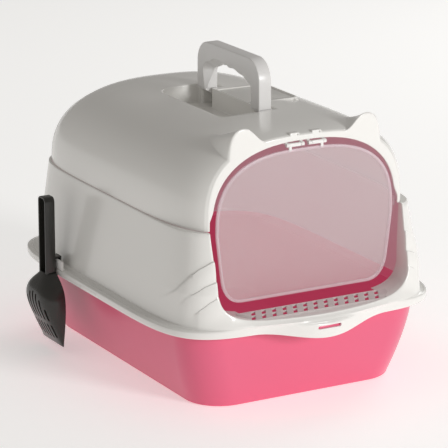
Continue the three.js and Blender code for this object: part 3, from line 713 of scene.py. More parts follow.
def arch(t, shape_y, y, inset=0.0, ears=None):
    """Points of the hood's cross-section, from the right foot over the top to the left foot."""
    half, rise, power = arch_numbers(np.float64(shape_y), inset)
    c, s = np.cos(t), np.sin(t)
    s[np.abs(s) < 1e-9] = 0
    r = (np.abs(c) ** power + np.abs(s) ** power) ** (-1 / power)
    x, z = half * r * c, rise * r * s
    if ears is not None:
        nx = signed_power(r * c, power - 1) / max(half, 1e-6)
        nz = signed_power(r * s, power - 1) / max(rise, 1e-6)
        size = np.hypot(nx, nz) + 1e-12
        x, z = x + ears * nx / size, z + ears * nz / size
    return np.stack([x, np.full_like(x, y), HOOD_BASE + z], 1)


def ear_profile():
    """The ear's outline as (distance along the front arch, height above it)."""
    line = EAR
    for _ in range(3):
        near, far = line[:-1], line[1:]
        cut = np.stack([near * 0.75 + far * 0.25, near * 0.25 + far * 0.75], 1).reshape(-1, 2)
        line = np.concatenate([line[:1], cut, line[-1:]])
    probe = arch(np.linspace(0, PI / 2, 3001), FACE_Y, FACE_Y)[:, [0, 2]]
    run = run_along(probe)
    away = np.linalg.norm(line[:, None] - probe[None], axis=2)
    foot = run[away.argmin(1)]
    height = np.maximum(away.min(1) - 0.8, 0)
    height[0] = height[-1] = 0
    order = np.argsort(foot)
    return foot[order], height[order]


def arch_turns():
    """Arch angles, closer together at the ears, and their distances from the nearer foot of the arch."""
    probe = np.linspace(0, PI, 4001)
    run = run_along(arch(probe, FACE_Y, FACE_Y))
    low, high = ear_profile()[0][[0, -1]]
    side = np.minimum(run, run[-1] - run)
    density = 1 + 3.0 * smooth(low - 8, low, side) * (1 - smooth(high, high + 8, side))
    count = np.concatenate([[0], np.cumsum((density[1:] + density[:-1]) / 2 * np.diff(run))])
    even = np.linspace(0, count[-1], 301)
    return np.interp(even, count, probe), np.interp(even, count, side)


def ear_swell(side, y):
    """How far the ears stand out of the arch: they shrink backwards to a point low on the roof."""
    left = max(0.0, 1 - (y - FACE_Y) / EAR_DEPTH)
    foot, height = ear_profile()
    middle = foot[0] + 0.5 * (foot[-1] - foot[0])
    along = middle + (side - middle) / max(left ** 0.8, 0.02)
    return height.max() * left ** 1.5 * np.interp(along, foot, height / height.max(), left=0, right=0)


# ---------------------------------------------------------------- roof: stowing pocket and filter seat
POCKET_FLOOR, POCKET_LEFT, POCKET_RIGHT, POCKET_NEAR, POCKET_FAR = 312.0, -57.0, 4.0, -103.5, 66.0
NOTCH_RIGHT, LEG, LEG_GAP = 21.4, 22.5, 0.6
RIM_ROUND, SEAT_ROUND = 1.2, 0.6
PAD_TOP, PAD_BORDER, PAD_CORNER, SEAT_FLOOR, SEAT_GAP = 336.9, 4.0, 6.0, 331.2, 0.4
ROOF_LEFT, ROOF_RIGHT, ROOF_NEAR, ROOF_FAR = -72, 92, -122, 84  # the part of the roof with holes


def rounded_polygon(corners, steps=5):
    """An outline from (x, y, radius) corners; a corner may turn either way."""
    spots = np.array([c[:2] for c in corners], float)
    points = []
    for i, (_, _, radius) in enumerate(corners):
        before = spots[i - 1] - spots[i]
        after = spots[(i + 1) % len(spots)] - spots[i]
        before, after = before / np.linalg.norm(before), after / np.linalg.norm(after)
        half = math.acos(np.clip(before @ after, -1, 1)) / 2
        start = spots[i] + before * radius / math.tan(half)
        end = spots[i] + after * radius / math.tan(half)
        bisector = (before + after) / np.linalg.norm(before + after)
        center = spots[i] + bisector * radius / math.sin(half)
        a, b = start - center, end - center
        turn = math.atan2(a[0] * b[1] - a[1] * b[0], a @ b)
        for part in np.linspace(0, 1, steps + 1):
            c, s = math.cos(turn * part), math.sin(turn * part)
            points.append(center + np.array([a[0] * c - a[1] * s, a[0] * s + a[1] * c]))
    return np.array(points)


def pocket_outline(grow, by_seat=None):
    """The pocket with its two leg notches, from above; by_seat is its growth towards the filter's seat."""
    leg_front = handle_low[1] + LEG + LEG_GAP
    leg_rear = handle_high[1] - LEG - LEG_GAP
    rear_end = handle_high[1] + LEG_GAP
    right, notch = POCKET_RIGHT + (grow if by_seat is None else by_seat), NOTCH_RIGHT + grow
    tight, wide = max(0.3, 2.5 + grow), max(0.3, 3.5 - grow)
    return rounded_polygon([
        (POCKET_LEFT - grow, POCKET_NEAR - grow, 9 + grow),
        (notch, POCKET_NEAR - grow, tight),
        (notch, leg_front + grow, tight),
        (right, leg_front + grow, wide),
        (right, leg_rear - grow, wide),
        (notch, leg_rear - grow, tight),
        (notch, rear_end + grow, tight),
        (right, rear_end + grow, wide),
        (right, POCKET_FAR + grow, tight),
        (POCKET_LEFT - grow, POCKET_FAR + grow, 16 + grow),
    ])


def deck_z(x, y):
    """Height of the roof with the filter's flat pad raised out of it."""
    low = lid_low[:2] - SEAT_GAP - PAD_BORDER
    high = lid_high[:2] + SEAT_GAP + PAD_BORDER
    middle, reach = (low + high) / 2, (high - low) / 2 - PAD_CORNER
    dx, dy = np.abs(x - middle[0]) - reach[0], np.abs(y - middle[1]) - reach[1]
    away = np.hypot(np.maximum(dx, 0), np.maximum(dy, 0)) + np.minimum(np.maximum(dx, dy), 0) - PAD_CORNER
    roof = roof_z(x, y)
    return np.maximum(roof, roof + (PAD_TOP - roof) * (1 - smooth(-0.3, 0.95, away)))


def seat_outline(grow, radius=3.0):
    (x0, y0), (x1, y1) = lid_low[:2] - SEAT_GAP - grow, lid_high[:2] + SEAT_GAP + grow
    return rounded_rectangle(x0, x1, y0, y1, [radius + grow] * 4)


def well_outline():
    return rounded_rectangle(tray_low[0] + 2.2, tray_high[0] - 2.4, tray_low[1] + 2.2, tray_high[1] - 2.2,
                             [1.5] * 4)


def on_roof(outline, inset=0.0):
    return raised(outline, roof_z(outline[:, 0], outline[:, 1], inset))


def on_deck(outline):
    return raised(outline, deck_z(outline[:, 0], outline[:, 1]))


def roof_patch(body, rows, first, last, left, right, holes, creases=()):
    """Replaces a rectangle of the grid of rows by triangles around the holes in the roof."""
    block = np.array(rows[first:last + 1])[:, left:right + 1]
    outline = np.concatenate([block[0, :-1], block[:-1, -1], block[-1, :0:-1], block[:0:-1, 0]])
    inner = block[1:-1, 1:-1].reshape(-1, 3)
    for hole in holes:
        flat = inner[:, :2]
        inner = inner[~inside(flat, hole[:, :2]) & (clearance(flat, hole[:, :2]) > 1.2)]
    for crease in creases:
        inner = inner[clearance(inner[:, :2], crease[:, :2], closed=False) > 1.2]
    body.fill(outline, holes, inner=inner, creases=creases)


def pierced_rows(body, rows, left, right, holes, creases=()):
    """The grid of rows, with triangles around the holes in the middle of the roof."""
    crown = np.array([row[len(row) // 2, 1] for row in rows])
    first, last = np.argmax(crown < ROOF_FAR), np.argmax(crown < ROOF_NEAR)
    body.grid(rows[:first + 1])
    body.grid(rows[last:])
    middle = rows[first:last + 1]
    body.grid([r[:left + 1] for r in middle])
    body.grid([r[right:] for r in middle])
    roof_patch(body, rows, first, last, left, right, holes, creases)


def upper_hood():
    body = Surface()
    turns, side = arch_turns()
    fulls = np.concatenate([[0.03, 0.07, 0.12], np.arange(0.16, 0.97, 0.04), [0.975, 0.985, 0.992, 0.997]])
    rear = HOOD_REAR * (1 - fulls ** HOOD_REAR_POWER) ** (1 / HOOD_REAR_POWER)
    ears_start = -140
    front = np.concatenate([np.arange(rear[-1] - 4, ears_start + 2, -4.4),
                            np.linspace(ears_start, FACE_Y + FRONT_ROUND, 40)])
    stations = np.concatenate([rear, front])
    pole = np.tile([0, HOOD_REAR, HOOD_BASE], (len(turns), 1)).astype(float)
    outside = [pole] + [arch(turns, y, y, ears=ear_swell(side, y)) for y in stations]
    ears = ear_swell(side, FACE_Y)
    for ahead, inset in list(quarter_round(FRONT_ROUND, 6))[1:]:
        outside.append(arch(turns, FACE_Y, FACE_Y + ahead, inset, ears))
    edge = outside[-1]

    def opening(grow, y):
        x, z = doorway_high(turns, grow)
        x = np.sign(x) * np.minimum(np.abs(x), np.maximum(np.abs(edge[:, 0]) - 0.4, 0))
        return upright(np.stack([x, z], 1), y)

    lip = opening(EDGE, FACE_Y)
    front_band = [edge * (1 - p) + lip * p for p in (0.3, 0.6, 0.85)] + [lip]
    for inset, drop in list(quarter_round(EDGE, 5))[1:]:
        front_band.append(opening(inset, FACE_Y + drop))
    front_band.append(opening(0, FACE_Y + SKIN))
    behind = stations[:len(rear)]
    behind = np.where(behind > 0, behind * (HOOD_REAR - SKIN) / HOOD_REAR, behind)
    ahead = np.linspace(rear[-1] - 6, FACE_Y + SKIN, 56)
    ahead = np.where(ahead > 0, ahead * (HOOD_REAR - SKIN) / HOOD_REAR, ahead)
    inner_rows = [pole - [0, SKIN, 0]] + [arch(turns, y, y, SKIN) for y in (*behind, *ahead)]

    crown = np.array([row[len(turns) // 2, 1] for row in outside])
    across = outside[(np.argmax(crown < ROOF_FAR) + np.argmax(crown < ROOF_NEAR)) // 2][:, 0]
    left, right = np.argmax(across < ROOF_RIGHT), np.argmax(across < ROOF_LEFT)
    rim = on_deck(pocket_outline(RIM_ROUND, SEAT_ROUND))
    seat = on_deck(seat_outline(0.25))
    pierced_rows(body, outside, left, right, [rim, seat], pad_creases())
    body.grid([edge] + front_band + [inner_rows[-1]])
    body.mark = 1
    tub = on_roof(pocket_outline(SKIN), SKIN)
    well = well_outline()
    pierced_rows(body, inner_rows, left, right, [tub, on_roof(well, SKIN)])
    body.mark = 0

    pocket(body, rim, tub)
    filter_seat(body, seat, well)
    foot_rib(body)
    body.build("hood_shell", "top", hood_white, ["upper_hood"], 38, hood_inside_painted_shade_glow)


def pad_creases():
    """Where the filter's pad meets the roof: lines that stop short of the pocket."""
    lines = []
    for grow in (0.95, 0.6, 0.3, 0.0, -0.3):
        flat = evenly(seat_outline(PAD_BORDER + grow, PAD_CORNER + grow), 260)
        free = np.where(flat[:, 0] > POCKET_RIGHT + 2.2)[0]
        gaps = np.diff(free)
        start = free[np.argmax(gaps) + 1] if gaps.max() > 1 else 0
        lines.append(on_deck(np.roll(flat, -start, axis=0)[:len(free)]))
    return lines


def pocket(body, rim, tub):
    loops = [rim]
    for inset, drop in list(quarter_round(RIM_ROUND, 4))[1:]:
        flat = pocket_outline(inset, inset * SEAT_ROUND / RIM_ROUND)
        loops.append(raised(flat, rim[:, 2] - drop))
    for lift, inset in quarter_round(1.6, 4):
        loops.append(raised(pocket_outline(-inset), POCKET_FLOOR + lift))
    body.grid(loops, closed=True)
    body.fill(loops[-1])
    bottom = raised(tub[:, :2], POCKET_FLOOR - SKIN)
    body.grid([tub, bottom], closed=True)
    body.fill(bottom)


def filter_seat(body, seat, well):
    """The recess that the filter lid closes, and the well below it."""
    flush = seat_outline(0.0)
    loops = [seat, raised(seat_outline(0.05), seat[:, 2] - 0.12), raised(flush, seat[:, 2] - 0.4),
             raised(flush, SEAT_FLOOR), raised(well, SEAT_FLOOR), on_roof(well, SKIN)]
    body.grid(loops, closed=True)


def foot_rib(body):
    """The rib that locates the upper hood inside the lower one."""
    body.mark = 1
    turns = np.linspace(0, 2 * PI, 241)
    turns = turns[seam_ring(turns, 0, 5.6)[:, 1] > TUNNEL_END + 12]
    top, low, tip = HOOD_BASE + 4, 219, 218.2
    section = [(top, 5.6), (low, 5.6), (tip, 6.0), (tip, 7.2), (low, 7.6), (top, 7.6)]
    rings = [seam_ring(turns, z, inset) for z, inset in section]
    body.grid(rings + [rings[0]])
    for end in (0, -1):
        body.cap([ring[end] for ring in rings])
    body.grid([seam_ring(turns, HOOD_BASE, 0.0), seam_ring(turns, HOOD_BASE, SKIN + 4.9)])


def hinge_housings():
    """Two small raised housings over the door's hinge, each with a hole at its right end."""
    low, high = FACE_Y + 0.2, FACE_Y + 8.4
    for name, x in (("left", -15.5), ("right", 15.5)):
        body = Surface()
        loops = []
        for inset, y in ((0.8, low), (0.25, low + 0.25), (0, low + 0.9), (0, high - 2.0), (0.4, high - 0.6),
                         (1.4, high)):
            flat = rounded_rectangle(x - 6.5 + inset, x + 6.5 - inset, 327.0, 333.8 - inset,
                                     [1.2, 1.2, 0.3, 0.3])
            loops.append(upright(flat, y))
        body.grid(loops, closed=True)
        body.cap(loops[-1])
        hole = upright(circle(x + 3.9, 331.2, 1.15, 16), low)
        body.fill(loops[0], [hole], axes=(0, 2))
        body.grid([hole, hole + [0, 3.2, 0]], closed=True)
        body.cap(hole + [0, 3.2, 0])
        body.build(f"hinge_housing_{name}", "top", hood_white)


# ---------------------------------------------------------------- pan
PAN_FOOT, PAN_TOP, PAN_CORNER, PAN_FLARE = (141.5, 210.0), (168.0, 226.0), 48.0, 1.5


def pan_ring(turns, z, inset=0.0):
    """Straight sides with rounded corners, wider towards the rim."""
    rise = 1 - (1 - min(z, 100) / 100) ** PAN_FLARE
    x, y = (low + (high - low) * rise - inset for low, high in zip(PAN_FOOT, PAN_TOP))
    s, c = np.sin(turns), -np.cos(turns)
    radius = PAN_CORNER - inset
    corner = np.array([x - radius, y - radius])
    aim = np.stack([x * np.abs(s), y * np.abs(c)], 1)
    reach = 1 / np.maximum(np.abs(s), np.abs(c))
    rounded = (reach[:, None] * aim > corner).all(1)
    size, along = (aim ** 2).sum(1), aim @ corner
    arc = (along + np.sqrt(np.maximum(along ** 2 - size * (corner @ corner - radius ** 2), 0))) / size
    reach = np.where(rounded, arc, reach)
    return np.stack([x * reach * s, y * reach * c, np.full_like(s, z)], 1)


def rim_ring(turns, z, inset=0.0):
    return flange_ring(turns, z, inset + FLANGE_HALF - pan_high[0])


def pan():
    body = Surface()
    probe = np.linspace(0, 2 * PI, 6001)
    run = run_along(pan_ring(probe, 60.0))
    turns = np.interp(np.linspace(0, run[-1], 361), run, probe)[:-1]
    foot = 3.0
    outside = [raised(pan_ring(turns, 0.6, 4.2), 0)]
    for inset, z in list(quarter_round(foot, 5))[1:]:
        outside.append(raised(pan_ring(turns, foot, inset), z))
    outside += [pan_ring(turns, z) for z in (5, 8, 12, 17, 23, 30, 38, 47, 57, 68, 80, 92, 100)]
    top = pan_high[2]
    rim_low = top - SKIN
    outside += [pan_ring(turns, rim_low), rim_ring(turns, rim_low), rim_ring(turns, rim_low + 0.8),
                rim_ring(turns, top, 0.6)]
    inner_rows = [pan_ring(turns, z, SKIN)
                  for z in (top, top - 1.2, 92, 80, 68, 57, 47, 38, 30, 23, 17, 12, 9)]
    inner_rows += [pan_ring(turns, z, SKIN + inset) for z, inset in ((6, 0.6), (4, 2.4), (3, 6))]
    body.grid(outside, closed=True)
    body.cap(outside[0][::-1])
    body.mark = 1
    body.grid(outside[-1:] + inner_rows, closed=True)
    body.cap(inner_rows[-1])
    body.build("pan_shell", "pan", pan_pink, ["litter_pan"], 40, pan_inside_painted_shade_glow)


# ---------------------------------------------------------------- door
DOOR_Y, DOOR_HALF, DOOR_WAIST, DOOR_RISE, DOOR_LOW = FACE_Y, 125.0, 218.0, 96.5, 131.0
AXIS_Z = 319.5


def door_outline(grow, count=180):
    turn = np.linspace(0, PI, 400)
    c, s = np.cos(turn), np.sin(turn)
    r = (np.abs(c) ** 2.8 + np.abs(s) ** 2.8) ** (-1 / 2.8)
    top = np.stack([(DOOR_HALF + grow) * r * c, DOOR_WAIST + (DOOR_RISE + grow) * r * s], 1)
    t = np.linspace(0, 1, 40)[:, None]
    low = DOOR_LOW - grow
    start, knee, end = np.array([[-118.5 - grow, 165], [-114.5 - grow, low], [-88, low]])
    corner = (1 - t) ** 2 * start + 2 * t * (1 - t) * knee + t ** 2 * end
    loop = np.concatenate([top, corner, corner[::-1] * [-1, 1], top[:1]])
    return evenly(loop, count + 1)[:-1]


def door():
    rim = Surface()
    half, proud = 1.1, 0.7
    back_half = [(0, 0.4), (-0.25, half + 0.35), (-0.9, half + proud), (-2.8, half + proud),
                 (-3.2, half + 0.15), (-3.6, half)]
    profile = [(grow, -y) for grow, y in back_half[::-1]] + back_half
    loops = [upright(door_outline(grow), DOOR_Y + y) for grow, y in profile]
    rim.grid(loops + [loops[0]], closed=True)
    rim.build("door_rim", "door", door_rim, ["door_flap"])
    panel = Surface()
    front, back = upright(door_outline(-3.55), DOOR_Y - half), upright(door_outline(-3.55), DOOR_Y + half)
    panel.grid([front, back], closed=True)
    panel.cap(front)
    panel.cap(back[::-1])
    panel.build("door_panel", "door", door_clear, ["door_flap"])
    for name, side in (("left", -1), ("right", 1)):
        leg = [side * x for x in (20.4, 24.2)]
        bar = [side * x for x in (7.4, 24.2)]
        hook = Surface()
        block(hook, sorted(leg), (DOOR_Y - 1.6, DOOR_Y + 1.6), (311.5, AXIS_Z + 2.4), 0.7)
        block(hook, sorted(bar), (DOOR_Y - 2.3, DOOR_Y + 2.3), (AXIS_Z - 2.3, AXIS_Z + 2.3), 1.0)
        hook.build(f"door_hook_{name}", "door", clip_white, ["door_flap"])


def block(body, x, y, z, edge):
    """A box with rounded edges."""
    levels = [(inset, z[0] + drop) for inset, drop in quarter_round(edge, 4)]
    levels += [(inset, z[0] + z[1] - low) for inset, low in levels[::-1]]
    rings = []
    for i, height in levels:
        flat = rounded_rectangle(x[0] + i, x[1] - i, y[0] + i, y[1] - i, [max(0.05, edge - i)] * 4, 3)
        rings.append(raised(flat, height))
    body.solid(rings)


# ---------------------------------------------------------------- handle
def handle_paths():
    """Outer and inner edges of the handle in the (y, z) plane, from the front foot to the rear foot."""
    y0, y1, top = handle_low[1], handle_high[1], handle_high[2]
    outer_r, inner_r, foot, under = 28.0, 10.0, 337.0, 366.5
    inner0, inner1 = y0 + LEG, y1 - LEG

    def corner(center, r, start):
        turn = np.linspace(start, start - PI / 2, 13)[:, None]
        return center + r * np.concatenate([np.cos(turn), np.sin(turn)], 1)

    rise = np.linspace(0, 1, 9)[:, None][:-1]
    grip = np.linspace(0, 1, 61)[:, None][1:-1]
    outer = np.concatenate([
        np.array([y0, foot]) + rise * [0, top - outer_r - foot],
        corner(np.array([y0 + outer_r, top - outer_r]), outer_r, PI),
        np.array([y0 + outer_r, top]) + grip * [y1 - y0 - 2 * outer_r, 0],
        corner(np.array([y1 - outer_r, top - outer_r]), outer_r, PI / 2),
        (np.array([y1, foot]) + rise * [0, top - outer_r - foot])[::-1],
    ])
    span = inner1 - inner0 - 2 * inner_r
    waves = 9.0 * (1 - (2 * grip - 1) ** 2) + 0.6 * (1 - np.cos(2 * PI * 4 * grip))
    inner = np.concatenate([
        np.array([inner0, foot]) + rise * [0, under - inner_r - foot],
        corner(np.array([inner0 + inner_r, under - inner_r]), inner_r, PI),
        np.concatenate([inner0 + inner_r + grip * span, under + waves], 1),
        corner(np.array([inner1 - inner_r, under - inner_r]), inner_r, PI / 2),
        (np.array([inner1, foot]) + rise * [0, under - inner_r - foot])[::-1],
    ])
    return outer, inner


def handle():
    body = Surface()
    x0, x1 = handle_low[0], handle_low[0] + 18.0
    outer, inner = handle_paths()
    across = inner - outer
    size = np.linalg.norm(across, axis=1, keepdims=True)
    across = across / size
    edge = 1.3
    along = np.linspace(0, 1, len(outer))
    # The bevel round the grip on the left is widest at the rear top corner.
    bevel = 2.6 + 9.0 * smooth(0.5, 0.72, along) * (1 - smooth(0.9, 1.0, along))
    outer_right = [(x1 - edge, 0), (x1 - 0.4 * edge, 0.15 * edge), (x1, edge)]
    inner_right = [(x1, 2.6), (x1 - 0.3, 1.6), (x1 - 1.6, 0.3), (x1 - 2.6, 0)]
    inner_left = [(x0 + bevel, 0), (x0 + 0.8 * bevel, 0.35 * bevel ** 0.8), (x0 + 0.1, 1.6 * bevel ** 0.7),
                  (x0, 1.8 * bevel ** 0.7)]
    outer_left = [(x0, edge), (x0 + 0.4 * edge, 0.15 * edge), (x0 + edge, 0)]
    rows = []
    for line, inwards, section in ((outer, 1, outer_right), (inner, -1, inner_right + inner_left),
                                   (outer, 1, outer_left)):
        for x, depth in section:
            depth = np.broadcast_to(depth, len(line))[:, None]
            rows.append(facing_left(line + inwards * across * depth, x))
    body.grid(rows + [rows[0]])
    for end in (0, -1):
        body.cap([row[end] for row in rows])
    pivot_x, pivot_z, lug = handle_high[0] - 5.4, handle_low[2] + 5.4, 5.2
    turn = np.radians(np.linspace(225, 385, 14))
    arc = np.stack([pivot_x + lug * np.cos(turn), pivot_z + lug * np.sin(turn)], 1)
    side = np.concatenate([[(x0, 337.3), (x0, 335.6)], arc, [(x1, 337.3)]])
    for low, high in ((handle_low[1], handle_low[1] + LEG), (handle_high[1] - LEG, handle_high[1])):
        body.solid([upright(side, y) for y in (low, high)])
    body.build("handle_bow", "handle", handle_white, ["carry_handle"], sharp=22)


# ---------------------------------------------------------------- filter lid, step and scoop
def filter_lid():
    body = Surface()
    top, knuckle = lid_high[2], 8.6
    bottom = top - 2.4
    rings = []
    for inset, z in ((0.3, bottom), (0.0, bottom + 0.3), (0.0, top - 0.6), (0.2, top - 0.15), (0.7, top)):
        (x0, y0), (x1, y1) = lid_low[:2] + inset, lid_high[:2] - inset
        rings.append(raised(rounded_rectangle(x0, x1, y0, y1, [2.6] * 4), z))
    body.solid(rings)
    barrel = circle(lid_high[0] - 2.8, bottom + 0.2, 2.2, 20)
    for low, high in ((lid_low[1], lid_low[1] + knuckle), (lid_high[1] - knuckle, lid_high[1])):
        body.solid([upright(barrel, y) for y in (low, high)])
    body.build("lid_plate", "lid", lid_white, ["filter_lid"], sharp=40)


def step():
    """The perforated step, two rows of slanted slots in a plate that rises inwards."""
    body = Surface()
    x0, x1, y0, y1 = step_low[0], step_high[0], step_low[1], step_high[1]
    thick, lip = 2.2, 0.35
    front_z, rear_z = step_low[2] + thick, step_high[2]
    pitch, columns, slot_long, margin = 14.6, 13, 4.1, 5.9
    slots = []
    for row, y in enumerate((y0 + margin, y1 - margin)):
        for i in range(columns):
            x = (i - (columns - 1) / 2) * pitch + row * 5.2 - 2.6
            corners = [(-4.6, -slot_long), (0.9, -slot_long), (4.6, slot_long), (-0.9, slot_long)]
            slots.append(rounded_polygon([(x + dx, y + dy, 0.6) for dx, dy in corners], 3))

    def at(flat, depth):
        return raised(flat, front_z + (rear_z - front_z) * (flat[:, 1] - y0) / (y1 - y0) - depth)

    outline = rounded_rectangle(x0, x1, y0, y1, [1.0] * 4, 3)
    shrink = rounded_rectangle(x0 + lip, x1 - lip, y0 + lip, y1 - lip, [1.0] * 4, 3)
    wider = [s + (s - s.mean(0)) * 0.1 for s in slots]
    body.fill(at(shrink, 0), [at(w, 0) for w in wider])
    body.grid([at(shrink, 0), at(outline, lip), at(outline, thick)], closed=True)
    body.fill(at(outline, thick), [at(s, thick) for s in slots])
    for slot, wide in zip(slots, wider):
        body.grid([at(wide, 0), at(slot, lip), at(slot, thick)], closed=True)
    body.build("step_plate", "skirt", step_painted_shade, ["step_grid"], sharp=40)


SCOOP_RIM_X, SCOOP_Y, SCOOP_WALL, GRIP_HALF, GRIP_DEPTH = -196.0, 97.0, 2.3, 10.2, 14.0
# Height, half width and depth of the scoop's bowl, from the digging edge to its neck.
# Sections of the scoop's bowl: height, half width, depth.
BOWL = np.array([(10, 30, 1.2), (18, 31.5, 6), (30, 34, 12.5), (45, 36.6, 19.5), (58, 37.8, 25.5),
                 (70, 38, 29), (80, 36.6, 29.4), (89, 32, 27), (96, 25, 22), (101, 17, 17.5),
                 (106, 11, 14.6)])
BOWL_ROUND, BOWL_COLUMNS = 0.62, 41


def bowl_ring(height, half, depth):
    turn = np.linspace(0, PI, BOWL_COLUMNS)
    across, out = signed_power(np.cos(turn), BOWL_ROUND), np.sin(turn) ** BOWL_ROUND
    x = SCOOP_RIM_X - max(0.25, depth) * out
    return raised(np.stack([x, SCOOP_Y + half * across], 1), height)


def scoop_slots():
    """Bars that cut two rows of slots through the bowl, shorter towards its sides."""
    cutters = Surface()
    for i in range(-3, 4):
        y, lift = SCOOP_Y + 8.4 * i, 1.1 * i * i
        for z0, z1 in ((19 + lift * 0.3, 41), (46.5, 83 - 2.0 * lift)):
            flat = rounded_rectangle(y - 1.75, y + 1.75, z0, z1, [1.7] * 4, 4)
            cutters.solid([facing_left(flat, x) for x in (SCOOP_RIM_X - 60, SCOOP_RIM_X - 1.5)])
    return cutters.build("scoop_slots", "", scoop_black)


def scoop():
    body = Surface()
    heights = np.concatenate([[10, 11.5], np.arange(14, 106, 2.5), [106]])
    half, depth = (np.interp(heights, BOWL[:, 0], BOWL[:, column]) for column in (1, 2))
    for _ in range(6):
        for line in (half, depth):
            line[1:-1] = (line[:-2] + 2 * line[1:-1] + line[2:]) / 4
    walls = np.where(heights > 16, SCOOP_WALL, 0.55 + 0.29 * (heights - 10))
    outer = [bowl_ring(*level) for level in zip(heights, half, depth)]
    inner = [bowl_ring(*level) for level in zip(heights, half - walls, depth - walls)]
    body.grid(outer)
    body.grid(inner)
    for side in (0, -1):
        body.grid([[r[side] for r in outer], [r[side] for r in inner]])
    for end in (0, -1):
        body.grid([outer[end], inner[end]])
    bowl = body.build("scoop_bowl", "", scoop_black)
    tool = scoop_slots()
    cut = bowl.modifiers.new("slots", "BOOLEAN")
    cut.object, cut.operation, cut.solver = tool, "DIFFERENCE", "EXACT"
    graph = bpy.context.evaluated_depsgraph_get()
    mesh = bpy.data.meshes.new_from_object(bowl.evaluated_get(graph))
    bpy.data.objects.remove(bowl)
    bpy.data.objects.remove(tool)
    mesh.materials.clear()
    place("scoop_bowl", mesh, "scoop", scoop_black, ["litter_scoop"], sharp=35)
    scoop_handle()
    scoop_hook()


def scoop_handle():
    """A channel open away from the box, with rounded top corners."""
    body = Surface()
    low, wall, edge = 101.0, 2.2, 0.5
    back, mouth = SCOOP_RIM_X, SCOOP_RIM_X - GRIP_DEPTH
    rings = []
    for inset, x in ((edge, back), (0, back - edge), (0, mouth + edge), (edge * 0.6, mouth),
                     (wall - 0.4, mouth), (wall, mouth + 0.5), (wall + 0.3, back - wall - 0.6),
                     (wall + 1.2, back - wall)):
        half = GRIP_HALF - inset
        radii = [max(0.5, 6 - inset)] * 2 + [1.2] * 2
        flat = rounded_rectangle(SCOOP_Y - half, SCOOP_Y + half, low + inset, scoop_high[2] - inset, radii)
        rings.append(facing_left(flat, x))
    body.grid(rings, closed=True)
    body.cap(rings[0])
    body.cap(rings[-1])
    body.build("scoop_grip", "scoop", scoop_black, ["litter_scoop"], sharp=35)


def scoop_hook():
    """The hook behind the handle, over the rail."""
    holder_low, holder_high = cad("scoop_holder")
    hook = Surface()
    x, y, top = scoop_high[0], (SCOOP_Y - 7, SCOOP_Y + 7), holder_high[2] + 3.2
    block(hook, (SCOOP_RIM_X - 1, x), y, (holder_high[2] + 0.6, top), 0.6)
    block(hook, (x - 2.2, x), y, (holder_low[2] + 3, top), 0.6)
    hook.build("scoop_hook", "scoop", scoop_black, ["litter_scoop"])


def scoop_rail():
    low, high = cad("scoop_holder")
    body = Surface()
    block(body, (low[0], high[0] - 1.4), (low[1], high[1]), (low[2], high[2]), 0.8)
    block(body, (low[0], high[0]), (low[1], high[1]), (low[2] - 1.2, low[2] + 1.4), 0.5)
    body.build("rail", "skirt", clip_white, ["scoop_holder"])


# ---------------------------------------------------------------- carried-over CAD nodes
def dress(node, material):
    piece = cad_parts[node]
    piece.data.materials.clear()
    piece.data.materials.append(material)
    piece.data.polygons.foreach_set("use_smooth", [True] * len(piece.data.polygons))
    piece.data.set_sharp_from_angle(angle=math.radians(35))
    bevel = piece.modifiers.new("edges", "BEVEL")
    bevel.width, bevel.segments, bevel.limit_method = 0.25 * MM, 2, "ANGLE"
    bevel.angle_limit = math.radians(50)


def keep_small_pieces():
    for node in ("door_pin_left", "door_pin_right", "handle_pin_front", "handle_pin_rear", "lid_pin_front",
                 "lid_pin_rear"):
        dress(node, pin_white)
    for node in ("hinge_clip_left", "hinge_clip_right"):
        dress(node, clip_white)
    dress("filter_tray", tray_white)
    dress("carbon_filter", carbon_felt())


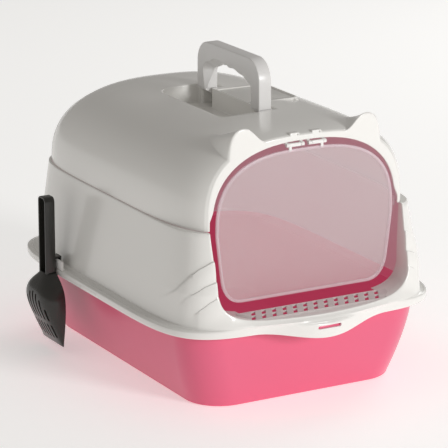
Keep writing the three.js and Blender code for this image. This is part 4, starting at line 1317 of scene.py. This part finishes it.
# ---------------------------------------------------------------- stage, light and camera
def stage():
    floor = Surface()
    span = np.linspace(-9000, 9000, 13)
    floor.grid([[(x, y, -0.4) for x in span] for y in span])
    paper, principled = shader("backdrop", (0.93, 0.93, 0.925), 0.85)
    tree = paper.node_tree
    grain = noise(tree, 300, 4, tree.nodes.new("ShaderNodeTexCoord").outputs["Object"])
    tree.links.new(spread(tree, grain, 0.8, 0.9), principled.inputs["Roughness"])
    principled.inputs["Emission Color"].default_value = (1, 1, 0.99, 1)
    principled.inputs["Emission Strength"].default_value = 0.4
    piece = floor.build("backdrop", "", paper)


def area_light(name, spot, target, size, power):
    light = bpy.data.lights.new(name, "AREA")
    light.shape, light.size, light.energy = "DISK", size, power
    lamp = bpy.data.objects.new(name, light)
    bpy.context.scene.collection.objects.link(lamp)
    lamp.location = spot
    lamp.rotation_euler = (Vector(target) - Vector(spot)).to_track_quat("-Z", "Y").to_euler()


def light_and_camera():
    scene = bpy.context.scene
    world = bpy.data.worlds.new("studio")
    scene.world = world
    world.use_nodes = True
    sky = world.node_tree.nodes["Background"]
    sky.inputs["Color"].default_value = (1, 0.965, 0.925, 1)
    sky.inputs["Strength"].default_value = 0.33
    area_light("key", (1.3, -3.9, 1.25), (0, 0, 0.2), 1.1, 80)
    area_light("rim", (2.4, 1.2, 1.6), (0, 0, 0.2), 1.4, 14)
    scene.view_settings.view_transform = "Standard"
    scene.view_settings.look = "None"

    camera = bpy.data.cameras.new("camera")
    eye = bpy.data.objects.new("camera", camera)
    scene.collection.objects.link(eye)
    azimuth, elevation, distance = math.radians(-29.21), math.radians(16.16), 3.523
    target = Vector((0, 0, 0.16))
    level = math.cos(elevation)
    back = Vector((math.sin(azimuth) * level, -math.cos(azimuth) * level, math.sin(elevation)))
    eye.location = target + distance * back
    eye.rotation_euler = (-back).to_track_quat("-Z", "Y").to_euler()
    camera.lens, camera.sensor_width = 219.5, 36
    camera.shift_x, camera.shift_y = 0.0054, 0.0080
    camera.clip_end = 50
    scene.camera = eye


lower_hood()
side_grips()
upper_hood()
hinge_housings()
pan()
door()
handle()
filter_lid()
step()
scoop()
scoop_rail()
keep_small_pieces()
stage()
light_and_camera()
